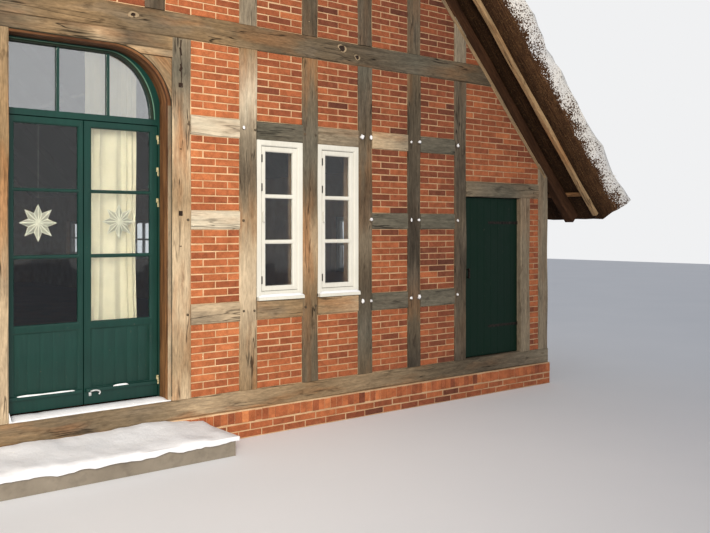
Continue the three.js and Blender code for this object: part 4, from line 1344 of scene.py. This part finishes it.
for word, side in sides:
    frameCopy = eased(bareCopy("gate_frame_" + word, "gateFrame_" + word), 0.002, 1)
    dress(smooth(frameCopy, 30), "gatePaint")
    dressPart(frameCopy, "brass", lambda center: center.y < gate["face"] - 0.0005)
    hand(frameCopy, "house", "gate_paint", "gate_frame_" + word)
    hand(makeBrace(word), "house", "oak", "gate_brace_" + word)
    lining = eased(bareCopy("gate_lining_" + word, "gateLining_" + word), 0.003)
    cutAt(lining, [gate["spring"] + 0.06], 2)
    dress(archGrain(smooth(lining, 30)), "lining")
    dressPart(lining, "oak", lambda center: center.y < -8.987 and center.z < gate["spring"])
    hand(lining, "house", "lining_boards", "gate_lining_" + word)

# a round moulding follows the glass of the arch, dark as a painted shadow, and another stands a little outside it, pale
# as a painted highlight (offset, radius)
moulding = {"beads": {"beadHighlight": (0.034, 0.006), "shadowStrip": (0.012, 0.012)}, "low": base + 2.52, "right": 1.298,
            "top": base + 3.026, "start": 0.915, "steps": 16, "end": 0.14}


def archRoute(offset):
    # points from the transom up round the arch and along the head to its end
    reach, rise = moulding["right"] - moulding["start"] + offset, moulding["top"] - moulding["low"] + offset * 0.6
    turns = [math.pi / 2 * k / moulding["steps"] for k in range(moulding["steps"] + 1)]
    route = [(moulding["start"] + reach * math.cos(turn), moulding["low"] + rise * math.sin(turn)) for turn in turns]
    return [(x, gate["face"] + 0.001, z) for x, z in route + [(moulding["end"], moulding["low"] + rise)]]


# a thin dark tube between the lining and the timbers round it paints the shadow in their gap
joint = {"radius": 0.519, "right": 1.4155, "end": 0.1, "top": base + 3.085, "center": base + 3.085 - 0.52, "y": -8.989,
         "thick": 0.0035, "foot": base + 0.2}
swing = [math.radians(3 * k) for k in range(2, 31)]
shadowLineRoute = [(joint["right"], joint["foot"]), (joint["right"], gate["spring"] + 0.05)]
shadowLineRoute += [(gate["archStart"] + joint["radius"] * math.cos(turn),
                joint["center"] + joint["radius"] * math.sin(turn)) for turn in swing]
shadowLineRoute.append((joint["end"], joint["top"] - 0.001))
for word, side in sides:
    beads = [dress(addTube("bead", archRoute(offset), radius), look)
             for look, (offset, radius) in moulding["beads"].items()]
    bead = smooth(outward(joinAll("archBeads_" + word, beads)), 50)
    hand(onSide(bead, side), "house", "gate_paint")
    line = addTube("liningShadowLine_" + word, [(x, joint["y"], z) for x, z in shadowLineRoute], joint["thick"])
    hand(onSide(dress(outward(line), "shadowStrip"), side), "house", "lining_boards")
print("gate made")

window = {"bays": [(2.249, 2.750), (2.928, 3.423)], "low": 0.955, "high": 2.400, "frame": 0.052, "sash": 0.048,
          "mould": 0.010, "back": 0.075, "setback": 0.012, "sashThick": 0.045,
          "rows": [(1.082, 1.462), (1.499, 1.876), (1.913, 2.297)], "sillTop": base + 0.985, "sillProud": 0.032,
          "sillRound": 0.010, "latch": ((-0.030, -0.012, 1.66), (-0.018, 0.014, 1.76)), "hinges": [1.137, 1.974, 2.235],
          "pin": (0.008, 0.07), "gap": 0.0045, "clear": 0.0005}


def makeWindow(name, bay, side):
    x0, x1 = bay[0] + window["clear"], bay[1] - window["clear"]
    z0, z1 = base + window["low"] + window["clear"], base + window["high"] - window["clear"]
    width, mould, gap = window["frame"], window["mould"], window["gap"]
    sashBox = (x0 + width, x1 - width, base + window["rows"][0][0] - window["sash"], z1 - width)
    cell = (sashBox[0] - mould, sashBox[1] + mould, sashBox[2] - mould, sashBox[3] + mould)
    case = framedPlate(name, [x0, *cell[:2], x1], [z0, *cell[2:], z1], [cell], thickness=window["back"],
                       mould=(mould, 0.012))
    setBack(softened(case, 0.002), -halfLength + window["back"] / 2)
    left, right = sashBox[0] + window["sash"] - mould, sashBox[1] - window["sash"] + mould
    levels = [(base + below - mould, base + above + mould) for below, above in window["rows"]]
    zLines = [sashBox[2] + gap, *(height for level in levels for height in level), sashBox[3] - gap]
    sash = framedPlate("sash", [sashBox[0] + gap, left, right, sashBox[1] - gap], zLines,
                       [(left, right, *level) for level in levels], thickness=window["sashThick"], mould=(mould, 0.010))
    setBack(softened(sash), -halfLength + window["setback"] + window["sashThick"] / 2)
    top = window["sillTop"]
    sill = addBlock("sill", (x0, -halfLength - window["sillProud"], z0), (x1, -halfLength + 0.012, top))
    bevelWhere(sill, lambda edge: all(v.co.y < -halfLength and v.co.z > top - 0.001 for v in edge.verts),
               window["sillRound"], 3)
    latch = roundEdges(blockAt("latch", (left, -halfLength, base), *window["latch"]), 0.003)
    parts = [dress(part, "windowPaint") for part in (case, sash, sill, latch)]
    radius, length = window["pin"]
    for height in window["hinges"]:
        foot = (sashBox[0] - 0.002, -halfLength + 0.005, base + height - length / 2)
        parts.append(dress(addRod("pin", radius, foot, (*foot[:2], foot[2] + length), 8), "iron"))
    return onSide(smooth(joinAll(name, parts)), side)


door = {"span": (4.957, 5.865), "low": base + 0.175, "high": base + 1.949, "face": -halfLength + 0.062, "thick": 0.045,
        "boards": 8, "axis": 5.860, "hinges": [0.480, 1.650], "ledges": (base + 0.395, base + 1.595),
        "ledgeHigh": 0.12, "handle": base + 1.05, "play": 0.002}


def makeDoor(name, side):
    x0, x1 = door["span"]
    face, inside = door["face"], door["face"] + door["thick"]
    cell = (x0 + door["play"], x1 - door["play"], door["low"] + door["play"], door["high"] - door["play"])
    leaf = framedPlate(name, [x0, *cell[:2], x1], [door["low"], *cell[2:], door["high"]], sunk=[cell],
                       boards=door["boards"], thickness=door["thick"], sink=(0, 0))
    setBack(leaf, face + door["thick"] / 2)
    ledges = [addBlock("ledge", (x0 + 0.08, inside - 0.002, z), (x1 - 0.08, inside + 0.022, z + door["ledgeHigh"]))
              for z in door["ledges"]]
    for ledge in ledges:
        roundEdges(ledge, 0.004, 1)
    for part in [leaf] + ledges:
        dress(part, "doorPaint")
    parts = [leaf]
    for height in door["hinges"]:
        low = base + height + hingePlay
        parts.append(dress(hingeHalf(door["axis"], face - 0.008, low, low + 0.036, -0.02, 0.009), "iron"))
        strap = blockAt("strap", (x1, face, low), (-0.5, -0.004, 0), (-0.02, 0.002, 0.032))
        parts.append(dress(roundEdges(strap, 0.0015, 1), "iron"))
    knob = addRod("knob", 0.012, (x0 + 0.07, 0, 0), (x0 + 0.07, 0, 0.11))
    knob.location = (0, face - 0.03, door["handle"])
    parts.append(dress(applyPlace(knob), "iron"))
    for z in (0.012, 0.098):
        stub = blockAt("stub", (x0, face, door["handle"] + z), (0.064, -0.034, -0.006), (0.076, 0.002, 0.006))
        parts.append(dress(stub, "iron"))
    return onSide(smooth(joinAll(name, parts + ledges)), side)


for word, side in sides:
    for k, bay in enumerate(window["bays"]):
        hand(makeWindow(f"window_{k + 1}_{word}_frame", bay, side), "house", "window_paint", f"window_{k + 1}_{word}")
    body = "side_door_leaf" if side > 0 else "house"
    hand(makeDoor("sideDoor_" + word, side), body, "door_paint", "side_door_" + word)

# the small windows of the long sides: a frame, a middle post and a bar in each bay
sideWindow = {"low": 0.935, "high": 1.780, "frame": 0.055, "bar": 0.012, "face": 0.075, "thick": 0.05}
for word, side in sides:
    parts = []
    for bay in windowBays:
        left, right = bayOpening(bay)
        left, right = left + 0.001, right - 0.001
        low, high = sideWindow["low"] + 0.001, sideWindow["high"] - 0.001
        edge, bar = sideWindow["frame"], sideWindow["bar"]
        middle, level = (left + right) / 2, low + (high - low) * 0.5
        xLines = [left, left + edge, middle - edge / 2, middle + edge / 2, right - edge, right]
        zLines = [low, low + edge, level - bar, level + bar, high - edge, high]
        panes = [(*xLines[a:a + 2], *zLines[b:b + 2]) for a in (1, 3) for b in (1, 3)]
        plate = framedPlate("sideWindow", xLines, zLines, panes, thickness=sideWindow["thick"], mould=(0.008, 0.010))
        points = readPoints(plate)
        points[:, 1] += sideWindow["face"] + sideWindow["thick"] / 2
        setOn(word, plate, points)
        sill = addBlock("sill", (left, -0.02, low - 0.001), (right, 0.09, low + 0.022))
        setOn(word, sill, readPoints(sill))
        parts += [plate, roundEdges(sill, 0.006, 2)]
    finish(joinAll("sideWindows_" + word, parts), "windowPaint", "window_paint")
print("windows and doors made")

drape = {"left": 0.766, "right": 1.235, "low": base + 0.215, "high": base + 3.130, "back": -8.722, "folds": 5.2,
         "depth": 0.024, "across": 150, "down": 36, "cloth": 0.0012}
curtain = addShape(bpy.ops.mesh.primitive_grid_add, "gatheredCurtain", x_subdivisions=drape["across"],
                   y_subdivisions=drape["down"], size=1, rotation=upright)
points = readPoints(curtain)
u, t = points[:, 0] + 0.5, points[:, 2] + 0.5
sway = 0.012 * np.sin(t * 5.1 + 1.0) + 0.006 * np.sin(t * 11.7)
uneven = 0.085 * np.sin(2 * math.pi * (1.1 * u - 0.04 + 0.08 * t)) + 0.02 * np.sin(13 * u + 2 * t)
phase = 2 * math.pi * drape["folds"] * (u + uneven)
fullness = 0.55 + 0.45 * np.clip(1 - t, 0, 1) ** 0.6
fold = np.sin(phase) + 0.22 * np.sin(2 * phase + 3 * t) + 0.15 * np.sin(0.5 * phase + 4 * t)
width = drape["right"] - drape["left"]
x = drape["left"] + width * (u + 0.008 * np.sin(phase * 2)) + sway * (u - 0.5) * 2 - 0.025 * u * np.sqrt(1 - t)
y = drape["back"] + drape["depth"] * fullness * fold / 1.25
z = drape["low"] + (drape["high"] - drape["low"]) * t + 0.006 * np.sin(phase) * (1 - t)
writePoints(curtain, stacked(x, y, z))
# the flat width is measured along the folds, row by row
rowPoints = stacked(x, y)[np.argsort(t, kind="stable")].reshape(drape["down"] + 1, -1, 2)
rowPoints = np.take_along_axis(rowPoints, np.argsort(rowPoints[:, :, 0], 1)[:, :, None].repeat(2, 2), 1)
flatWidth = float(np.linalg.norm(np.diff(rowPoints, axis=1), axis=2).sum(1).mean())
flatLength = drape["high"] - drape["low"]
writeAttribute(curtain, "weave", stacked(u * flatWidth, t * flatLength, t * 0))
applyModifier(curtain, "SOLIDIFY", thickness=drape["cloth"], offset=0)
finish(outward(curtain), "cloth", "curtain_cloth", "curtain", angle=180)
print("curtain flat size:", round(flatWidth, 3), round(flatLength, 3))

# a star of folded paper hangs behind the middle pane of each right leaf
star = {"centers": [(0.385, -8.770, base + 1.646), (1.045, -8.772, base + 1.659)], "radius": 0.148, "inner": 0.082,
        "points": 8, "ridge": 0.012, "fold": 0.0045, "heart": (0.068, 0.03), "hook": base + 2.43}


def foldedPaper(name, center, radius, inner, turned, look=None):
    paper = addShape(bpy.ops.mesh.primitive_circle_add, name, vertices=2 * star["points"], radius=radius,
                     fill_type="TRIFAN", rotation=upright)
    points = readPoints(paper)
    turn = np.arctan2(points[:, 2], points[:, 0])
    atTip = np.rint(turn / (math.pi / star["points"])).astype(int) % 2 == turned
    rim = np.hypot(points[:, 0], points[:, 2]) > 0.01
    length = np.where(atTip, radius, inner)
    points[rim, 0] = (length * np.cos(turn))[rim]
    points[rim, 2] = (length * np.sin(turn))[rim]
    points[:, 1] = np.where(~rim, -star["ridge"], np.where(atTip, -0.002, 0.004))
    writePoints(paper, points + center)
    dress(paper, "paper")
    if look:  # the folds stay pale round fields of darker, dimmer paper, painted shade on the facets
        paper.data.materials.append(looks[look])
        pick(paper)
        bpy.ops.mesh.inset(thickness=star["fold"], use_individual=True)
        paper.active_material_index = 1
        bpy.ops.object.material_slot_assign()
        leaveEdit()
    return applyModifier(paper, "SOLIDIFY", thickness=0.001, offset=0)


for k, (x, y, z) in enumerate(star["centers"]):
    parts = [foldedPaper("star", (x, y, z), star["radius"], star["inner"], 0, "shadedPaperField"),
             foldedPaper("heart", (x, y - 0.003, z), *star["heart"], 1),
             dress(addRod("string", 0.0004, (x, y, z + star["radius"] - 0.004), (x, y, star["hook"]), 6), "paper")]
    hand(outward(joinAll(f"foldedStar_{k + 1}", parts)), leafBodies[k], "curtain_cloth")


def lumps(points, scale, seed):
    # soft uneven heights from steady noise at the points
    shift = Vector((seed * 7.3, seed * 3.1, seed * 1.7))
    return np.array([fractal(Vector(p) * scale + shift, 0.6, 2.1, 3, noise_basis="PERLIN_ORIGINAL") for p in points])


# the share profiles across the thatch's thickness run from painted shade at its underside to snow on top
thatch = {"under": 0.1703, "over": 0.5703, "foot": 9.285, "head": 9.5, "leanTo": 0.75, "rounding": 0.11,
          "roundFrom": 0.72, "down": roofLook["foot"] + 0.1, "part": 0.125, "layers": [0.3, 0.42, 0.6, 0.8, 0.93],
          "lump": 0.04, "coverAndShade": ((0, 0.3, 0.42, 0.6, 0.8, 1), (-1.2, -0.2, 0.26, 0.43, 0.5, 0.66)),
          "spikes": 2400, "spikeLength": (0.02, 0.055), "spikeWidth": 0.007,
          "spikeCoverAndShade": ((0.2, 0.38, 0.55, 1), (-0.6, 0.08, 0.38, 0.62))}


def vergeReach(o):
    # the verge leans out with the height in the thatch
    return thatch["foot"] + (thatch["head"] - thatch["foot"]) * np.minimum(o / thatch["leanTo"], 1)


def makeThatch(word, seed):
    # a block cut into small fields, leaned out at the verges and eased along its upper edges
    block = addBlock("thatch_" + word + "_reed", (-1, 0, 0), (1, 1, 1))
    alongCuts = round(2 * thatch["head"] / thatch["part"])
    downCuts = round(thatch["down"] / thatch["part"])
    cutAt(block, [-1 + 2 * k / alongCuts for k in range(1, alongCuts)], 0)
    cutAt(block, [k / downCuts for k in range(1, downCuts)], 2)
    cutAt(block, thatch["layers"], 1)
    a, o, t = readPoints(block).T
    upper = np.clip((o - thatch["roundFrom"]) / (1 - thatch["roundFrom"]), 0, 1)
    easing = 1 - np.sqrt(np.maximum(1 - upper ** 2, 0))
    out = thatch["under"] + (thatch["over"] - thatch["under"]) * o
    start = -out * math.tan(pitch)
    down = start + (thatch["down"] - 0.05 * easing - start) * t
    along = a * (vergeReach(o) - thatch["rounding"] * easing)
    places = stacked(along, out, down)
    rough = lumps(places, 1.6, seed) * thatch["lump"] + lumps(places, 6.5, seed + 1) * thatch["lump"] * 0.6
    fine = lumps(places, 14, seed + 2) * 0.016
    edgeDistance = np.minimum(thatch["head"] - np.abs(along), thatch["down"] - down)
    out = out + np.where(o > 0.5, np.clip(rough, -0.03, 0.05) + fine, fine * 0.25)
    along = along + np.where(np.abs(a) > 0.999, np.sign(a) * (fine * 1.2 + rough * 0.4), 0)
    down = down + np.where(t > 0.999, fine + rough * 0.4, 0)
    places = stacked(along, out, down)
    setOn("roof_" + word, block, places)
    writeAttribute(block, "reed", places + seed * 3)
    onTop = o > 0.97
    coverAndShade = np.where(onTop, 0.62 + np.clip(edgeDistance * 1.2, 0, 0.5), np.interp(o, *thatch["coverAndShade"]))
    # the underside gets the lowest share, which paints it in shade
    coverAndShade = np.where(o < 0.02, -1.3, coverAndShade)
    bare = np.clip(lumps(places * (0.5, 1, 0.35), 1.1, seed + 5), 0, 0.6) * onTop * np.clip(edgeDistance / 0.6, 0, 1)
    writeAttribute(block, "snowAndShade", coverAndShade - bare)
    return outward(block)


def scatterReeds(wall, seed):
    # blunt reed ends, thin three-sided cones, stand out of both verge faces and the eaves face
    spike = addShape(bpy.ops.mesh.primitive_cone_add, "reedEnds", vertices=3, radius1=0.5, radius2=0.12, depth=1,
                     rotation=(0, math.pi / 2, 0), location=(0.5, 0, 0))
    shape = readPoints(spike)
    draw = np.random.default_rng(seed)
    count = thatch["spikes"]
    faces = draw.choice(3, count, p=[0.4, 0.4, 0.2])
    o = draw.beta(2.0, 1.3, count)
    out = thatch["under"] + 0.01 + (thatch["over"] - thatch["under"] - 0.02) * o
    upper = np.clip((o - thatch["roundFrom"]) / (1 - thatch["roundFrom"]), 0, 0.98)
    reach = vergeReach(o) - thatch["rounding"] * (1 - np.sqrt(1 - upper ** 2))
    down = draw.uniform(-0.3, thatch["down"], count)
    sign = np.where(faces == 0, 1, -1)
    atEaves = faces == 2
    along = np.where(atEaves, draw.uniform(-9.3, 9.3, count), sign * (reach - 0.03))
    down = np.where(atEaves, thatch["down"] - 0.04, down)
    heading = stacked(np.where(atEaves, draw.normal(0, 0.25, count), sign * draw.uniform(0.4, 1, count)),
                      draw.normal(0.1, 0.3, count), np.where(atEaves, 1.0, draw.uniform(0.2, 1.0, count)))
    heading /= np.linalg.norm(heading, axis=1, keepdims=True)
    sideways = np.cross(heading, (0.0, 1.0, 0.0))
    sideways /= np.linalg.norm(sideways, axis=1, keepdims=True)
    third = np.cross(heading, sideways)
    length = draw.uniform(*thatch["spikeLength"], count)[:, None, None]
    width = thatch["spikeWidth"] * draw.uniform(0.7, 1.6, count)[:, None, None]
    points = (stacked(along, out, down)[:, None] + heading[:, None] * (shape[None, :, :1] * length)
              + sideways[:, None] * (shape[None, :, 1:2] * width) + third[:, None] * (shape[None, :, 2:] * width))
    repeated(spike, count, (2, 0, 0))
    places = points.reshape(-1, 3)
    setOn(wall, spike, places)
    writeAttribute(spike, "reed", places)
    # reed ends low on the faces take a low share and so painted shade
    coverAndShade = np.clip(draw.normal(np.interp(o, *thatch["spikeCoverAndShade"]), 0.2), -0.8, 0.8)
    writeAttribute(spike, "snowAndShade", np.repeat(coverAndShade, len(shape)))
    return outward(spike)


for seed, (word, side) in enumerate(sides, 1):
    reeds = joinAll("thatch_" + word + "_reed", [makeThatch(word, seed), scatterReeds("roof_" + word, 40 + seed)])
    finish(reeds, "thatch", "thatch", "thatch_" + word, angle=60)

ridge = eased(bareCopy("ridge_cap", "ridgeCap"), 0.02)
cutAt(ridge, [-9.3 + 0.15 * k for k in range(125)], 1)
points = readPoints(ridge)
points[:, 2] += lumps(points, 1.8, 9) * 0.03 + lumps(points, 7, 10) * 0.014
points[:, 0] += lumps(points, 5, 11) * 0.012
writePoints(ridge, points)
writeAttribute(ridge, "reed", points[:, [1, 0, 2]])
writeAttribute(ridge, "snowAndShade", np.where(np.abs(points[:, 0]) > 0.45, 0.5, 0.8))
finish(outward(ridge), "thatch", "thatch", "ridge_cap", angle=60)
print("thatch and ridge made")


def domed(share):
    # rises steeply from 0 and levels off at 1
    return np.sqrt(np.clip(1 - (1 - np.clip(share, 0, 1)) ** 2, 0, 1))


def snowOn(name, low, high, seed, part=0.06, sag=0.35, rough=0.012):
    # a soft bank of snow on a flat top: thick in the middle and falling to nothing at its edges
    bank = addBlock(name, low, high)
    spans = [b - a for a, b in zip(low, high)]
    for axis in (0, 1):
        parts = max(3, min(90, round(spans[axis] / part)))
        cutAt(bank, [low[axis] + spans[axis] * k / parts for k in range(1, parts)], axis)
    points = readPoints(bank)
    top = points[:, 2] > high[2] - 1e-5
    fromEdge = np.minimum.reduce([distance / min(0.06, spans[axis] / 3) for axis in (0, 1)
                                  for distance in (points[:, axis] - low[axis], high[axis] - points[:, axis])])
    crown = domed(fromEdge)
    wave = lumps(points, 2.2, seed) * rough + lumps(points, 9, seed + 1) * rough * 0.5
    lift = (high[2] - low[2]) * (sag + (1 - sag) * crown) + wave * crown
    points[:, 2] = np.where(top, low[2] + np.maximum(lift, 0.002), points[:, 2])
    for axis in (0, 1):
        uneven = lumps(points, 4, seed + 2 + axis) * rough * 0.6
        atEdge = (np.abs(points[:, axis] - low[axis]) < 1e-5) | (np.abs(points[:, axis] - high[axis]) < 1e-5)
        points[:, axis] += np.where(atEdge, uneven, 0)
    writePoints(bank, points)
    return dress(smooth(roundEdges(outward(bank), min(0.012, (high[2] - low[2]) * 0.3), 2, 40), 70), "snow")


# on the step the snow leans against the sole and hangs over the front edge
stepLook = {"x": 1.765, "back": -9.018, "front": -9.498, "under": 0.1486, "hang": 0.118, "high": 0.262, "low": 0.178,
            "cuts": (0.012, 0.024, 0.05, 0.09, 0.14, 0.2, 0.27, 0.34, 0.41)}
stepSnow = addBlock("stepSnow", (-stepLook["x"], stepLook["front"], 0), (stepLook["x"], stepLook["back"], 1))
cutAt(stepSnow, [stepLook["x"] * (-1 + k / 45) for k in range(1, 90)], 0)
cutAt(stepSnow, [stepLook["front"] + cut for cut in stepLook["cuts"]], 1)
points = readPoints(stepSnow)
x, y, t = points.T
inFrom = np.clip((y - stepLook["front"]) / (stepLook["back"] - stepLook["front"]), 0, 1)
ends = np.clip((stepLook["x"] - np.abs(x)) / 0.09, 0, 1)
slope = stepLook["low"] + (stepLook["high"] - stepLook["low"]) * inFrom ** 1.6
slope += lumps(points, 2.0, 21) * 0.02 + lumps(points, 8, 22) * 0.008
slope -= 0.035 * (1 - domed(inFrom / 0.1)) + 0.05 * (1 - np.sqrt(ends))
slope -= 0.045 * np.clip((np.abs(x) - 1.35) / 0.4, 0, 1) * inFrom
atFront = inFrom < 0.06
bottom = np.where(atFront, stepLook["hang"] + lumps(points, 5, 23) * 0.016, stepLook["under"])
points[:, 2] = np.where(t > 0.5, np.maximum(slope, stepLook["under"] + 0.014), bottom)
points[:, 1] += np.where(atFront, lumps(points, 4, 24) * 0.012, 0)
writePoints(stepSnow, points)
finish(roundEdges(outward(stepSnow), 0.008, 2, 50), "snow", "stone", angle=70)

# snow on the threshold climbs to the center post, low enough for the leaves to swing over it
threshold = {"low": (0.098, -8.997, base + 0.163), "high": (1.405, -8.825, base + 0.194),
             "cuts": [0.104, 0.110, 0.1165], "under": base + 0.1955, "climb": 0.07}
banks = []
for word, side in sides:
    bank = snowOn("bank", threshold["low"], threshold["high"], 31 + side)
    cutAt(bank, threshold["cuts"], 0)
    points = readPoints(bank)
    points[:, 2] = np.minimum(points[:, 2], threshold["under"])
    climb = threshold["climb"] * np.clip((0.1165 - points[:, 0]) / 0.0185, 0, 1)
    points[:, 2] += climb * (points[:, 2] > base + 0.168)
    writePoints(bank, points)
    banks.append(onSide(bank, side))
hand(joinAll("thresholdSnow", banks), "house", "stone")

thinSnow = {"part": 0.03, "sag": 0.3}
banks = []
for word, side in sides:
    for k, bay in enumerate(window["bays"]):
        left, right = sorted((side * (bay[0] + 0.004), side * (bay[1] - 0.004)))
        banks.append(snowOn("bank", (left, -halfLength - 0.030, base + 0.983),
                            (right, -halfLength + 0.010, base + 1.006), 41 + k, rough=0.006, **thinSnow))
hand(joinAll("sillSnow", banks), "house", "window_paint")
# a little snow has stayed on the rounded ledge of each right leaf
for k, (left, right) in enumerate(((0.185, 0.655), (0.955, 1.1))):
    drift = snowOn(f"ledgeSnow_{k + 1}", (left, gate["face"] - 0.017, base + 0.317),
                   (right, gate["face"] - 0.0005, base + 0.331), 51 + k, rough=0.004, **thinSnow)
    hand(drift, leafBodies[k], "gate_paint")
print("snow laid")

for name, cad in nodes.items():
    if "glass" in name:
        dress(cad, "skyGlass" if "transom" in name else "glass")
dress(nodes["gate_step"], "stone")
dress(nodes["ground_floor"], "floor")
for beam in beams.values():
    bpy.data.objects.remove(beam)

deselectAll()
bpy.ops.mesh.primitive_plane_add(size=80, location=(0, 0, -0.002))
floor = dress(named("studioFloor"), "studioFloor")
